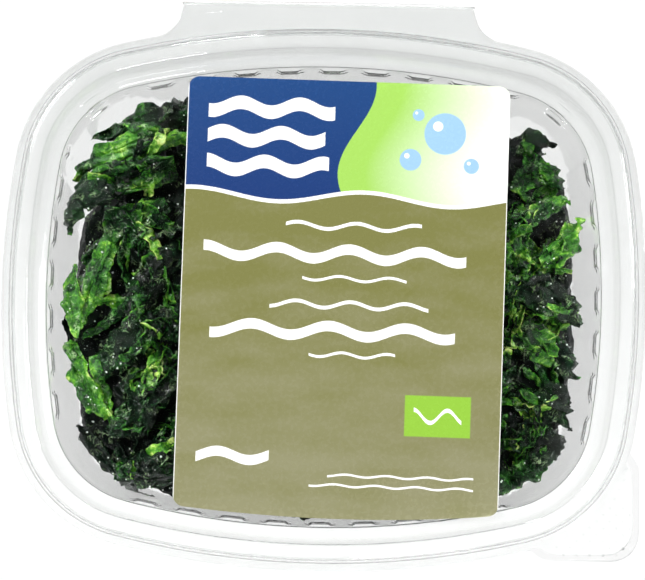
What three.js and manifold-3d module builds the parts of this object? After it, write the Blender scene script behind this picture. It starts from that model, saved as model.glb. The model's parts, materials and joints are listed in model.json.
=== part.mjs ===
// A clear tub of salted sea lettuce with a hinged lid and a label, lying on its base.
// Millimetres, +Z up, +Y towards the hinge, origin under the middle of the whole pack.
// The tub and its lid are thin formed sheets. The sea lettuce is a pressed bed of fronds
// with loose, ruffled fronds laid over it, each one draped on what lies below it.
import * as THREE from "three";
import { mergeVertices } from "three/addons/utils/BufferGeometryUtils.js";
import Module from "manifold-3d";

const wasm = await Module();
wasm.setup();

// Plan outline of the rim bead's outer wall: four shallow arcs joined by corner arcs
const BEAD_HALF_X = 68.9;
const BEAD_HALF_Y = 58.5;
const SIDE_ARC_RADIUS = 185;
const END_ARC_RADIUS = 191;
const CORNER_RADIUS = 28.8;
const SIDE_STEPS = 3;
const CORNER_STEPS = 7;

// Sheet, rim and hinge
const SHEET = 0.8;
const GAP = 0.3;
const FLANGE_WIDTH = 2.1;
const FLANGE_Z = 43;
const BEAD_RISE = 4.2;
const PANEL_Z = FLANGE_Z + 0.9;
const HINGE_REACH = 6.2;
const HINGE_HALF_WIDTH = 32.5;
const HINGE_FILLET = 7;
const HINGE_ROOT = 9;
const HINGE_RIB = { back: 2.7, width: 1.2, height: 0.5 };
const NEST_Z = SHEET + GAP;

// Thumb tabs, rounded squares that fill out the front right corner, the lid's larger than the tub's
const TAB = { x: 57.3, y: -44.8, corner: 6 };
const LID_TAB_HALF = 12.5;
const TUB_TAB_HALF = 11.3;

// The label, stuck a little askew and to the right. Its front edge bows outwards.
const LABEL = { width: 71.3, length: 95, thick: 0.4, corner: 2.5, frontBow: 1.6, x: 4.1, y: 0, turn: -1.0 };

// Sea lettuce, which has slumped forwards and left the back corners of the tub empty
const BED_BOTTOM = 2.2;
const BED_HEIGHT = 27;
const BED_FRONT_RISE = 2.5;
const BED_RELIEF = 1.7;
const BACK_LEFT_REACH = 77;
const BACK_RIGHT_REACH = 84;
const WALL_CLEARANCE = 0.7;
const FROND_INSET = 9;
const FROND_FLOOR = 24.5;
const BLADE_THICK = 1;
const LAY_GAP = 0.3;
const DROOP = 0.35;
const TOP_LIMIT = PANEL_Z - SHEET / 2 - LAY_GAP;

// The pack's box is centred on the origin, so the tub's own centre sits a little forward.
const FOLD_Y = BEAD_HALF_Y + HINGE_REACH;
const TUB_Y = -(FOLD_Y - GAP / 2 - BEAD_HALF_Y - FLANGE_WIDTH) / 2;

// Where the corner arc's centre lies, so that it meets the side and end arcs without a kink
function cornerCentre() {
  const sideX = BEAD_HALF_X - SIDE_ARC_RADIUS;
  const endY = BEAD_HALF_Y - END_ARC_RADIUS;
  const toSide = SIDE_ARC_RADIUS - CORNER_RADIUS;
  const toEnd = END_ARC_RADIUS - CORNER_RADIUS;
  const span = Math.hypot(sideX, endY);
  const along = (toSide ** 2 - toEnd ** 2 + span ** 2) / (2 * span);
  const across = Math.sqrt(toSide ** 2 - along ** 2);
  const ux = -sideX / span;
  const uy = endY / span;
  return { x: sideX + ux * along - uy * across, y: uy * along + ux * across };
}
const CORNER = cornerCentre();
const SIDE_TURN = Math.atan2(CORNER.y, CORNER.x - (BEAD_HALF_X - SIDE_ARC_RADIUS));
const END_TURN = Math.atan2(CORNER.y - (BEAD_HALF_Y - END_ARC_RADIUS), CORNER.x);

// The outline's point whose outward normal has this angle in the first quadrant, moved out by an offset
function quadrantPoint(angle, offset) {
  const c = Math.cos(angle);
  const s = Math.sin(angle);
  if (angle <= SIDE_TURN) {
    const r = SIDE_ARC_RADIUS + offset;
    return [BEAD_HALF_X - SIDE_ARC_RADIUS + r * c, r * s];
  }
  if (angle >= END_TURN) {
    const r = END_ARC_RADIUS + offset;
    return [r * c, BEAD_HALF_Y - END_ARC_RADIUS + r * s];
  }
  const r = CORNER_RADIUS + offset;
  return [CORNER.x + r * c, CORNER.y + r * s];
}

function spread(from, to, steps) {
  return Array.from({ length: steps }, (_, k) => from + ((to - from) * k) / steps);
}
const QUADRANT_ANGLES = [
  ...spread(0, SIDE_TURN, SIDE_STEPS),
  ...spread(SIDE_TURN, END_TURN, CORNER_STEPS),
  ...spread(END_TURN, Math.PI / 2, SIDE_STEPS),
];

// One ring of the outline, anticlockwise, at an offset and a height
function ring(offset, z) {
  const first = QUADRANT_ANGLES.map((a) => quadrantPoint(a, offset));
  const last = quadrantPoint(Math.PI / 2, offset);
  const right = [...first, last];
  const mirrored = right.slice(1).reverse().map(([x, y]) => [-x, y]);
  const back = [...right.slice(0, -1), ...mirrored];
  const front = back.map(([x, y]) => [-x, -y]);
  return [...back, ...front].map(([x, y]) => new THREE.Vector3(x, y + TUB_Y, z));
}

// A closed solid through rings of equal count, with a flat cap on the first and on the last
function loft(rings) {
  const count = rings[0].length;
  const points = rings.flat();
  const faces = [];
  for (let r = 0; r + 1 < rings.length; r++)
    for (let k = 0; k < count; k++) {
      const a = r * count + k;
      const b = r * count + ((k + 1) % count);
      faces.push(a, b, b + count, a, b + count, a + count);
    }
  const middle = (list) =>
    list.reduce((sum, p) => sum.add(p), new THREE.Vector3()).divideScalar(list.length);
  const low = points.push(middle(rings[0])) - 1;
  const high = points.push(middle(rings[rings.length - 1])) - 1;
  const top = (rings.length - 1) * count;
  for (let k = 0; k < count; k++) {
    const next = (k + 1) % count;
    faces.push(low, next, k);
    faces.push(high, top + k, top + next);
  }
  return new THREE.BufferGeometry().setFromPoints(points).setIndex(faces);
}

function toSolid(geometry) {
  const bare = geometry.clone();
  bare.deleteAttribute("normal");
  bare.deleteAttribute("uv");
  const merged = mergeVertices(bare, 1e-4);
  return new wasm.Manifold(
    new wasm.Mesh({
      numProp: 3,
      vertProperties: new Float32Array(merged.attributes.position.array),
      triVerts: new Uint32Array(merged.index.array),
    }),
  );
}

function toGeometry(solid) {
  const mesh = solid.getMesh();
  return new THREE.BufferGeometry()
    .setAttribute("position", new THREE.BufferAttribute(new Float32Array(mesh.vertProperties), 3))
    .setIndex(new THREE.BufferAttribute(new Uint32Array(mesh.triVerts), 1));
}

// Keeps a solid's outer skin only, so that a pocket between a blade and the bed is filled
function withoutPockets(solid) {
  return solid.decompose().reduce((best, shell) => (shell.volume() > best.volume() ? shell : best));
}

// A sheet's section runs inwards from the flange's edge as [offset, height] pairs.
// This moves it sideways by a distance, up for a positive one, with mitred corners.
function besideSection(section, distance) {
  return section.map((point, k) => {
    const before = section[Math.max(k - 1, 0)];
    const after = section[Math.min(k + 1, section.length - 1)];
    const turn = ([x0, z0], [x1, z1]) => {
      const length = Math.hypot(x1 - x0, z1 - z0) || 1;
      return [(z1 - z0) / length, -(x1 - x0) / length];
    };
    const first = k > 0 ? turn(before, point) : turn(point, after);
    const second = k < section.length - 1 ? turn(point, after) : first;
    const scale = distance / (1 + first[0] * second[0] + first[1] * second[1]);
    return [point[0] + (first[0] + second[0]) * scale, point[1] + (first[1] + second[1]) * scale];
  });
}

// The formed sheet as a solid: its underside outwards, then its upper side back to the middle
function sheetSolid(section) {
  const under = besideSection(section, -SHEET / 2).reverse();
  const upper = besideSection(section, SHEET / 2);
  return toSolid(loft([...under, ...upper].map(([offset, z]) => ring(offset, z))));
}

// A flat plate in plan, at a height, without what lies inside the flange's own ring
function plateOutsideRim(shape, z) {
  const extrusion = { depth: SHEET, bevelEnabled: false, curveSegments: 8 };
  const plate = new THREE.ExtrudeGeometry(shape, extrusion);
  plate.translate(0, TUB_Y, z - SHEET / 2);
  const inner = loft([ring(FLANGE_WIDTH / 2, z - SHEET), ring(FLANGE_WIDTH / 2, z + SHEET)]);
  return toSolid(plate).subtract(toSolid(inner));
}

// The strip that runs from the back flange to the fold line, flaring into the flange
function hingeStrip(z) {
  const fold = FOLD_Y - GAP / 2;
  const flareX = HINGE_HALF_WIDTH + HINGE_FILLET;
  const flareY = fold - 1;
  const root = flareY - HINGE_FILLET - HINGE_ROOT;
  const shape = new THREE.Shape();
  shape.moveTo(-HINGE_HALF_WIDTH, fold);
  shape.absarc(-flareX, flareY, HINGE_FILLET, 0, -Math.PI / 2, true);
  shape.lineTo(-flareX, root);
  shape.lineTo(flareX, root);
  shape.absarc(flareX, flareY, HINGE_FILLET, -Math.PI / 2, -Math.PI, true);
  shape.lineTo(HINGE_HALF_WIDTH, fold);
  return plateOutsideRim(shape, z);
}

// A rectangle with rounded corners about a centre, anticlockwise
function roundedRectangle(centreX, centreY, halfX, halfY, corner) {
  const x = halfX - corner;
  const y = halfY - corner;
  const shape = new THREE.Shape();
  shape.absarc(centreX + x, centreY + y, corner, 0, Math.PI / 2, false);
  shape.absarc(centreX - x, centreY + y, corner, Math.PI / 2, Math.PI, false);
  shape.absarc(centreX - x, centreY - y, corner, Math.PI, 1.5 * Math.PI, false);
  shape.absarc(centreX + x, centreY - y, corner, 1.5 * Math.PI, 2 * Math.PI, false);
  return shape;
}

function thumbTab(half, z) {
  return plateOutsideRim(roundedRectangle(TAB.x, TAB.y, half, half, TAB.corner), z);
}

// The tub's section: flange, upstanding bead, mouth, ledge, tapered wall, foot and raised floor
const WALL_TOP = [-7.3, FLANGE_Z - 1.2];
const WALL_FOOT = [-10.1, 6];
const RIM_SECTION = [
  [FLANGE_WIDTH, FLANGE_Z],
  [0.4, FLANGE_Z],
  [-0.2, FLANGE_Z + BEAD_RISE - 0.7],
  [-0.9, FLANGE_Z + BEAD_RISE],
  [-3.5, FLANGE_Z + BEAD_RISE],
  [-4.2, FLANGE_Z + BEAD_RISE - 0.7],
];
const TUB_SECTION = [
  ...RIM_SECTION,
  [-4.9, FLANGE_Z - 0.2],
  WALL_TOP,
  WALL_FOOT,
  [-11.4, 2.6],
  [-14.5, SHEET / 2],
  [-18.7, SHEET / 2],
  [-20.3, 1.3],
];
const tubSolid = sheetSolid(TUB_SECTION)
  .add(hingeStrip(FLANGE_Z))
  .add(thumbTab(TUB_TAB_HALF, FLANGE_Z));

// The lid's section nests on the rim, then steps down inside the bead to a flat panel.
const LID_SECTION = [
  ...besideSection(RIM_SECTION, NEST_Z),
  [-6.1, PANEL_Z],
  [-8.5, PANEL_Z],
];
const ribHeight = HINGE_RIB.height + SHEET / 2;
const hingeRib = new THREE.BoxGeometry(2 * HINGE_HALF_WIDTH, HINGE_RIB.width, ribHeight);
hingeRib.translate(0, TUB_Y + FOLD_Y - HINGE_RIB.back, FLANGE_Z + NEST_Z + ribHeight / 2);
const lidSolid = sheetSolid(LID_SECTION)
  .add(hingeStrip(FLANGE_Z + NEST_Z))
  .add(toSolid(hingeRib))
  .add(thumbTab(LID_TAB_HALF, FLANGE_Z + NEST_Z));

// The label, a thin plate with rounded corners. Both front corners turn on into the bowed edge.
function labelGeometry() {
  const { width, length, thick, corner, frontBow } = LABEL;
  const [x, y] = [width / 2 - corner, length / 2 - corner];
  const lean = Math.atan((2 * frontBow) / x);
  const endX = x + corner * Math.sin(lean);
  const endY = -y - corner * Math.cos(lean);
  const shape = new THREE.Shape();
  shape.absarc(x, y, corner, 0, Math.PI / 2, false);
  shape.absarc(-x, y, corner, Math.PI / 2, Math.PI, false);
  shape.absarc(-x, -y, corner, Math.PI, 1.5 * Math.PI - lean, false);
  shape.quadraticCurveTo(0, endY - Math.tan(lean) * endX, endX, endY);
  shape.absarc(x, -y, corner, 1.5 * Math.PI + lean, 2 * Math.PI, false);
  return new THREE.ExtrudeGeometry(shape, { depth: thick, bevelEnabled: false, curveSegments: 4 });
}

// How far inside the bead's outer wall the tub's inner surface lies at a height
function innerWall(z) {
  const share = (z - WALL_FOOT[1]) / (WALL_TOP[1] - WALL_FOOT[1]);
  return WALL_FOOT[0] + (WALL_TOP[0] - WALL_FOOT[0]) * share - SHEET / 2;
}

// The pressed bed: crossing folds over a fill that is deeper at the front
function foldRelief(x, y) {
  const along = Math.abs(Math.sin(0.17 * x + 1.4 * Math.sin(0.11 * y + 0.7)));
  const across = Math.abs(Math.sin(0.2 * y + 1.6 * Math.sin(0.13 * x + 2.1)));
  return BED_RELIEF * (along + across - 1);
}
function bedTop(x, y) {
  return BED_HEIGHT - (BED_FRONT_RISE * (y - TUB_Y)) / BEAD_HALF_Y + foldRelief(x, y);
}

// How much of its distance from the middle a wall point keeps once the back corners are left empty
function cornerShare(p) {
  const reach = p.x < 0 ? BACK_LEFT_REACH : BACK_RIGHT_REACH;
  return Math.min(1, reach / (Math.abs(p.x) + Math.max(0, p.y - TUB_Y)));
}

const BED_SIDE_HEIGHTS = [0, 0.12, 0.35, 0.6, 0.85];
const BED_TOP_SCALES = [0.98, 0.93, 0.84, 0.73, 0.62, 0.5, 0.38, 0.26, 0.13];
const EDGE_DROP = 4.5;

function bedGeometry() {
  const edgeTop = (p) => bedTop(p.x, p.y) - EDGE_DROP;
  const sideRings = BED_SIDE_HEIGHTS.map((share) => {
    const z = BED_BOTTOM + share * (BED_HEIGHT - EDGE_DROP - BED_BOTTOM);
    const tuck = share === 0 ? 5 : WALL_CLEARANCE;
    return ring(innerWall(Math.max(z, WALL_FOOT[1])) - tuck, z).map((p, k) => {
      const ripple = 1.1 + Math.sin(0.9 * k + 6 * share) * Math.sin(0.37 * k - 9 * share);
      const inwards = cornerShare(p) * (1 - (share > 0 ? 0.014 * ripple : 0));
      p.x *= inwards;
      p.y = TUB_Y + (p.y - TUB_Y) * inwards;
      p.z = share === 0 ? BED_BOTTOM : BED_BOTTOM + share * (edgeTop(p) - BED_BOTTOM);
      return p;
    });
  });
  const edge = sideRings[sideRings.length - 1];
  const topRings = BED_TOP_SCALES.map((scale) =>
    edge.map((p) => {
      const x = p.x * scale;
      const y = TUB_Y + (p.y - TUB_Y) * scale;
      const drop = EDGE_DROP * Math.max(0, (scale - 0.73) / 0.27) ** 2;
      return new THREE.Vector3(x, y, bedTop(x, y) - drop);
    }),
  );
  return loft([...sideRings, ...topRings]);
}

// A height map of what lies in the tub so far: the highest point in each small square.
// Fronds are stiff enough not to sink beside the bed, where the wall narrows.
const CELL = 0.8;
const MAP_SIDE = 180;
const heights = new Float64Array(MAP_SIDE * MAP_SIDE).fill(FROND_FLOOR);
const cellOf = (value) => Math.round(value / CELL) + MAP_SIDE / 2;

function raiseMap(geometry) {
  const position = geometry.attributes.position;
  const index = geometry.index;
  const [a, b, c, p] = Array.from({ length: 4 }, () => new THREE.Vector3());
  for (let t = 0; t < index.count; t += 3) {
    [a, b, c].forEach((corner, k) => corner.fromBufferAttribute(position, index.getX(t + k)));
    const reach = Math.max(a.distanceTo(b), b.distanceTo(c), c.distanceTo(a));
    const steps = Math.ceil((2 * reach) / CELL);
    for (let i = 0; i <= steps; i++)
      for (let j = 0; i + j <= steps; j++) {
        p.copy(a).multiplyScalar((steps - i - j) / steps);
        p.addScaledVector(b, i / steps).addScaledVector(c, j / steps);
        const cell = cellOf(p.y) * MAP_SIDE + cellOf(p.x);
        heights[cell] = Math.max(heights[cell], p.z);
      }
  }
}

function heightNear(x, y) {
  let highest = -Infinity;
  for (let dy = -1; dy <= 1; dy++)
    for (let dx = -1; dx <= 1; dx++)
      highest = Math.max(highest, heights[(cellOf(y) + dy) * MAP_SIDE + cellOf(x) + dx]);
  return highest;
}

// Park-Miller numbers, so that the draws are the same on every run
function seededDraws(seed) {
  let state = seed;
  return () => {
    state = (state * 48271) % 2147483647;
    return state / 2147483647;
  };
}

// Moves a place near the tub's wall towards the middle, the more the further out it would lie,
// so that a frond is pressed together there and never reaches the wall
const FROND_LIMIT = ring(-FROND_INSET, 0);
const PRESS_START = 0.94;
function pressedInside(x, y) {
  let share = 0;
  FROND_LIMIT.forEach((a, k) => {
    const b = FROND_LIMIT[(k + 1) % FROND_LIMIT.length];
    const nx = b.y - a.y;
    const ny = a.x - b.x;
    share = Math.max(share, (nx * x + ny * (y - TUB_Y)) / (nx * a.x + ny * (a.y - TUB_Y)));
  });
  if (share <= PRESS_START) return { x, y };
  const room = 1 - PRESS_START;
  const pressed = PRESS_START + room * (1 - Math.exp((PRESS_START - share) / room));
  return { x: (x * pressed) / share, y: TUB_Y + ((y - TUB_Y) * pressed) / share };
}

// A frond in plan: a quadratic curve with a width that tapers to both tips and has a waved margin
const LENGTH_STEPS = 10;
const WIDTH_STEPS = 4;
const TIP_SHARE = 0.24;
const MARGIN_WAVE = 0.16;
const MARGIN_TURNS = 11;
function frondPlan(frond) {
  const [start, bend, end] = frond.path;
  return Array.from({ length: LENGTH_STEPS + 1 }, (_, i) => {
    const u = i / LENGTH_STEPS;
    const mix = (k) => (1 - u) ** 2 * start[k] + 2 * u * (1 - u) * bend[k] + u ** 2 * end[k];
    const slope = (k) => (1 - u) * (bend[k] - start[k]) + u * (end[k] - bend[k]);
    const speed = Math.hypot(slope(0), slope(1));
    const taper = TIP_SHARE + (1 - TIP_SHARE) * Math.sin(Math.PI * (0.08 + 0.92 * u)) ** 0.7;
    const margin = 1 + MARGIN_WAVE * Math.sin(MARGIN_TURNS * u + frond.phase);
    return Array.from({ length: WIDTH_STEPS + 1 }, (_, j) => {
      const v = (2 * j) / WIDTH_STEPS - 1;
      const aside = (v * frond.width * taper * margin) / 2;
      const x = mix(0) - (slope(1) / speed) * aside;
      const y = mix(1) + (slope(0) / speed) * aside;
      return { u, v, ...pressedInside(x, y) };
    });
  });
}

// A frond's own form above its spine: an arched or hollow back and margins that ruffle up and down
const RUFFLE_TURNS = 15;
const ROLL_TURNS = 7;
const ROLL = 0.7;
function frondForm(frond, u, v) {
  const back = frond.arch * (1 - v * v);
  const ruffle = frond.ruffle * v * Math.abs(v) * Math.sin(RUFFLE_TURNS * u + frond.phase);
  const roll = ROLL * Math.sin(ROLL_TURNS * u - frond.phase);
  return back + ruffle + roll;
}

// The closed blade between two alike faces, one below and one above the middle surface
function bladeGeometry(plan, middle) {
  const row = WIDTH_STEPS + 1;
  const count = plan.length * row;
  const points = [];
  for (const side of [-1, 1])
    plan.forEach((line, i) =>
      line.forEach((p, j) =>
        points.push(new THREE.Vector3(p.x, p.y, middle[i][j] + (side * BLADE_THICK) / 2)),
      ),
    );
  const faces = [];
  const edge = [];
  for (let i = 0; i + 1 < plan.length; i++)
    for (let j = 0; j < WIDTH_STEPS; j++) {
      const a = i * row + j;
      const [b, c, d] = [a + 1, a + row, a + row + 1];
      faces.push(a, b, c, b, d, c);
      faces.push(a + count, c + count, b + count, b + count, c + count, d + count);
    }
  for (let j = 0; j < WIDTH_STEPS; j++) edge.push(j);
  for (let i = 0; i + 1 < plan.length; i++) edge.push(i * row + WIDTH_STEPS);
  for (let j = WIDTH_STEPS; j > 0; j--) edge.push((plan.length - 1) * row + j);
  for (let i = plan.length - 1; i > 0; i--) edge.push(i * row);
  edge.forEach((a, k) => {
    const b = edge[(k + 1) % edge.length];
    faces.push(b, a, a + count, b, a + count, b + count);
  });
  return new THREE.BufferGeometry().setFromPoints(points).setIndex(faces);
}

// The two triangles of each patch of a blade, by the row and column of their corners
const TRIANGLES = [];
for (let i = 0; i < LENGTH_STEPS; i++)
  for (let j = 0; j < WIDTH_STEPS; j++) {
    TRIANGLES.push([[i, j], [i, j + 1], [i + 1, j]]);
    TRIANGLES.push([[i, j + 1], [i + 1, j + 1], [i + 1, j]]);
  }

// Places spread over a triangle, as shares of its three corners
const SHARE_STEPS = 4;
const SHARES = [];
for (let a = 0; a <= SHARE_STEPS; a++)
  for (let b = 0; a + b <= SHARE_STEPS; b++)
    SHARES.push([a / SHARE_STEPS, b / SHARE_STEPS, (SHARE_STEPS - a - b) / SHARE_STEPS]);

// Raises a blade's middle surface until its underside clears the height map everywhere.
// No corner is raised above what its own neighbourhood needs.
const LAY_PASSES = 60;
function clearOfMap(plan, middle) {
  const lift = BLADE_THICK / 2 + LAY_GAP;
  const needs = [];
  const ceiling = middle.map((line) => line.map(() => 0));
  for (const corners of TRIANGLES)
    for (const shares of SHARES) {
      const at = (axis) => corners.reduce((sum, [i, j], k) => sum + shares[k] * plan[i][j][axis], 0);
      const need = heightNear(at("x"), at("y")) + lift;
      needs.push({ corners, shares, need });
      for (const [i, j] of corners) ceiling[i][j] = Math.max(ceiling[i][j], need);
    }
  for (let pass = 0; pass < LAY_PASSES; pass++)
    for (const { corners, shares, need } of needs) {
      const short = need - corners.reduce((sum, [i, j], k) => sum + shares[k] * middle[i][j], 0);
      if (short <= 0) continue;
      corners.forEach(([i, j], k) => {
        const raised = Math.min(ceiling[i][j], middle[i][j] + short * shares[k]);
        middle[i][j] = Math.max(middle[i][j], raised);
      });
    }
  return middle.map((line) => line.map((z) => z + 0.05));
}

// Lays a frond on what is in the tub. Its spine follows the pile, smoothed, and its form rides on that.
const SMOOTHING_PASSES = 3;
function layFrond(frond) {
  const plan = frondPlan(frond);
  const spine = plan.map((row) => row[WIDTH_STEPS / 2]);
  const drop = (i) => DROOP * Math.hypot(spine[i].x - spine[i - 1].x, spine[i].y - spine[i - 1].y);
  const last = LENGTH_STEPS;
  let line = spine.map((p) => heightNear(p.x, p.y) + BLADE_THICK);
  for (let i = 1; i <= last; i++) line[i] = Math.max(line[i], line[i - 1] - drop(i));
  for (let i = last; i > 0; i--) line[i - 1] = Math.max(line[i - 1], line[i] - drop(i));
  for (let pass = 0; pass < SMOOTHING_PASSES; pass++)
    line = line.map((z, i) => (line[Math.max(i - 1, 0)] + 2 * z + line[Math.min(i + 1, last)]) / 4);
  const rise = (p) => frond.lift * p.u + frondForm(frond, p.u, p.v);
  const middle = plan.map((row, i) => row.map((p) => line[i] + rise(p)));
  const geometry = bladeGeometry(plan, clearOfMap(plan, middle));
  raiseMap(geometry);
  return geometry;
}

// Draws a frond about a place
function drawFrond(draw, x, y, longest) {
  const heading = 2 * Math.PI * draw();
  const half = (0.3 + 0.2 * draw()) * longest;
  const bow = (draw() - 0.5) * longest * 0.5;
  const [c, s] = [Math.cos(heading), Math.sin(heading)];
  return {
    path: [[x - half * c, y - half * s], [x - bow * s, y + bow * c], [x + half * c, y + half * s]],
    width: 8 + 6 * draw(),
    arch: -1 + 3 * draw(),
    ruffle: 1 + draw(),
    phase: 2 * Math.PI * draw(),
    lift: 0,
  };
}

// Fronds pressed into the bed, all round, half sunk in it
const BEDDED_SEED = 8121;
const BEDDED_PLACES = [[-38, 22], [40, 20], [-46, -8], [-20, -44], [24, -44]];
const beddedDraw = seededDraws(BEDDED_SEED);
const bedded = BEDDED_PLACES.map(([x, y]) => drawFrond(beddedDraw, x, y + TUB_Y, 40));
const BEDDED_DEPTH = 0.6;
let bedSolid = toSolid(bedGeometry());
for (const frond of bedded) {
  const plan = frondPlan(frond);
  const height = (p) => bedTop(p.x, p.y) - BEDDED_DEPTH + frondForm(frond, p.u, p.v);
  const middle = plan.map((row) => row.map(height));
  bedSolid = bedSolid.add(toSolid(bladeGeometry(plan, middle)));
}

// Loose fronds beside the label. The left ones run from the back corner down to the front corner.
const LEFT_FRONDS = [
  { path: [[-33, 45], [-34, 38], [-33, 31]], width: 6, arch: 1.6, ruffle: 1, phase: 0.4, lift: 0 },
  { path: [[-30, 40], [-39, 38], [-50, 33]], width: 8, arch: 2.2, ruffle: 1.2, phase: 2.2, lift: 2 },
  { path: [[-31, 33], [-45, 33], [-60, 25]], width: 7, arch: 2.4, ruffle: 1.2, phase: 4.1, lift: 2 },
  { path: [[-34, 27], [-47, 24], [-56, 22]], width: 7, arch: 1.4, ruffle: 1.5, phase: 1.1, lift: 0 },
  { path: [[-48, 20], [-60, 24], [-58, 11]], width: 8, arch: 2.6, ruffle: 1.2, phase: 5.2, lift: 1 },
  { path: [[-36, 19], [-48, 13], [-55, 5]], width: 8, arch: 1.8, ruffle: 1.6, phase: 3, lift: 0 },
  { path: [[-34, 8], [-41, 2], [-44, -9]], width: 8, arch: 1.6, ruffle: 1.5, phase: 0.9, lift: 0 },
  { path: [[-49, 10], [-52, 0], [-56, -9]], width: 7, arch: 2.4, ruffle: 1.3, phase: 2.7, lift: 1 },
  { path: [[-58, 5], [-59, -2], [-55, -12]], width: 6, arch: 1.6, ruffle: 1, phase: 1.9, lift: 0 },
  { path: [[-37, -9], [-46, -13], [-53, -22]], width: 8, arch: 1.6, ruffle: 1.5, phase: 3.6, lift: 0 },
  { path: [[-58, -13], [-57, -23], [-47, -30]], width: 7, arch: 2, ruffle: 1.2, phase: 5.9, lift: 0 },
  { path: [[-35, -18], [-39, -28], [-48, -34]], width: 8, arch: 1.4, ruffle: 1.4, phase: 0.2, lift: 0 },
  { path: [[-56, -32], [-52, -41], [-43, -46]], width: 7, arch: 1.8, ruffle: 1.2, phase: 4.6, lift: 0 },
  { path: [[-34, -35], [-39, -42], [-48, -46]], width: 7, arch: 1.6, ruffle: 1.2, phase: 2.4, lift: 0 },
];
const RIGHT_FRONDS = [
  { path: [[42, 33], [46, 37], [54, 35]], width: 6, arch: 1.4, ruffle: 0.9, phase: 1.2, lift: 1 },
  { path: [[43, 23], [50, 33], [54, 24]], width: 7, arch: 2.2, ruffle: 1.2, phase: 3.1, lift: 0 },
  { path: [[42, 14], [48, 20], [56, 21]], width: 6, arch: 1.6, ruffle: 1, phase: 5.5, lift: 0 },
  { path: [[49, 7], [57, 11], [61, 18]], width: 7, arch: 2, ruffle: 1.2, phase: 0.6, lift: 2 },
  { path: [[42, 1], [52, 1], [60, -7]], width: 8, arch: 1.6, ruffle: 1.4, phase: 2.9, lift: 0 },
  { path: [[42, -11], [51, -9], [60, -20]], width: 8, arch: 1.8, ruffle: 1.4, phase: 4.3, lift: 0 },
  { path: [[43, -25], [53, -20], [59, -32]], width: 8, arch: 1.6, ruffle: 1.4, phase: 1.6, lift: 0 },
  { path: [[43, -35], [50, -30], [56, -37]], width: 7, arch: 1.6, ruffle: 1.2, phase: 3.8, lift: 0 },
  { path: [[37, -46], [46, -43], [52, -36]], width: 7, arch: 1.4, ruffle: 1.1, phase: 5, lift: 0 },
];

// Loose fronds across the middle, drawn about a loose grid of places
const LOOSE_SEED = 40507;
const LOOSE_PLACES = [
  [-20, 26], [4, 30], [26, 26], [-22, 0], [-2, 8], [22, 4], [-16, -24], [6, -16], [24, -28], [0, -40],
  [-6, 38], [36, 8], [-24, -42], [18, -46],
];
const looseDraw = seededDraws(LOOSE_SEED);
const loose = LOOSE_PLACES.map(([x, y]) => drawFrond(looseDraw, x, y + TUB_Y, 44));

// Each material has the colour and gloss of the real piece.
const clearPlastic = new THREE.MeshStandardMaterial({
  color: 0xe9edec,
  roughness: 0.08,
  transparent: true,
  opacity: 0.35,
});
const printedLabel = new THREE.MeshStandardMaterial({ color: 0x8c8c52, roughness: 0.4 });
const deepFrond = new THREE.MeshStandardMaterial({ color: 0x12301c, roughness: 0.25 });
const brightFrond = new THREE.MeshStandardMaterial({ color: 0x2f7a1f, roughness: 0.22 });

const pack = new THREE.Group();
function addMesh(name, geometry, material) {
  const mesh = new THREE.Mesh(geometry, material);
  mesh.name = name;
  pack.add(mesh);
  return mesh;
}

addMesh("tub", toGeometry(tubSolid), clearPlastic);
addMesh("lid", toGeometry(lidSolid), clearPlastic);
const label = addMesh("label", labelGeometry(), printedLabel);
label.position.set(LABEL.x, TUB_Y + LABEL.y, PANEL_Z + SHEET / 2 + GAP);
label.rotation.z = (LABEL.turn * Math.PI) / 180;

const bedFinal = toGeometry(withoutPockets(bedSolid));
addMesh("frond_bed", bedFinal, deepFrond);
raiseMap(bedFinal);

// Lays a list of fronds one after another, each on the ones before
function layGroup(prefix, fronds, material) {
  fronds.forEach((frond, k) => {
    const geometry = layFrond(frond);
    geometry.computeBoundingBox();
    const top = geometry.boundingBox.max.z;
    if (top > TOP_LIMIT) throw new Error(prefix + (k + 1) + " reaches the lid: " + top.toFixed(1));
    addMesh(prefix + String(k + 1).padStart(2, "0"), geometry, material);
  });
}
layGroup("middle_frond_", loose, deepFrond);
layGroup("left_frond_", LEFT_FRONDS, brightFrond);
layGroup("right_frond_", RIGHT_FRONDS, brightFrond);

export default pack;
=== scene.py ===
# A clear hinged-lid tub packed with salted sea lettuce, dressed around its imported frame.
# Metres, +Z up, +Y towards the hinge. Each section makes one piece, or a group of like
# pieces, and says which body carries it. Sizes in a section are in millimetres times MM.
import bisect
import json
import math
import random

import bmesh
import bpy
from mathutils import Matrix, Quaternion, Vector, noise
from mathutils.bvhtree import BVHTree

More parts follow.
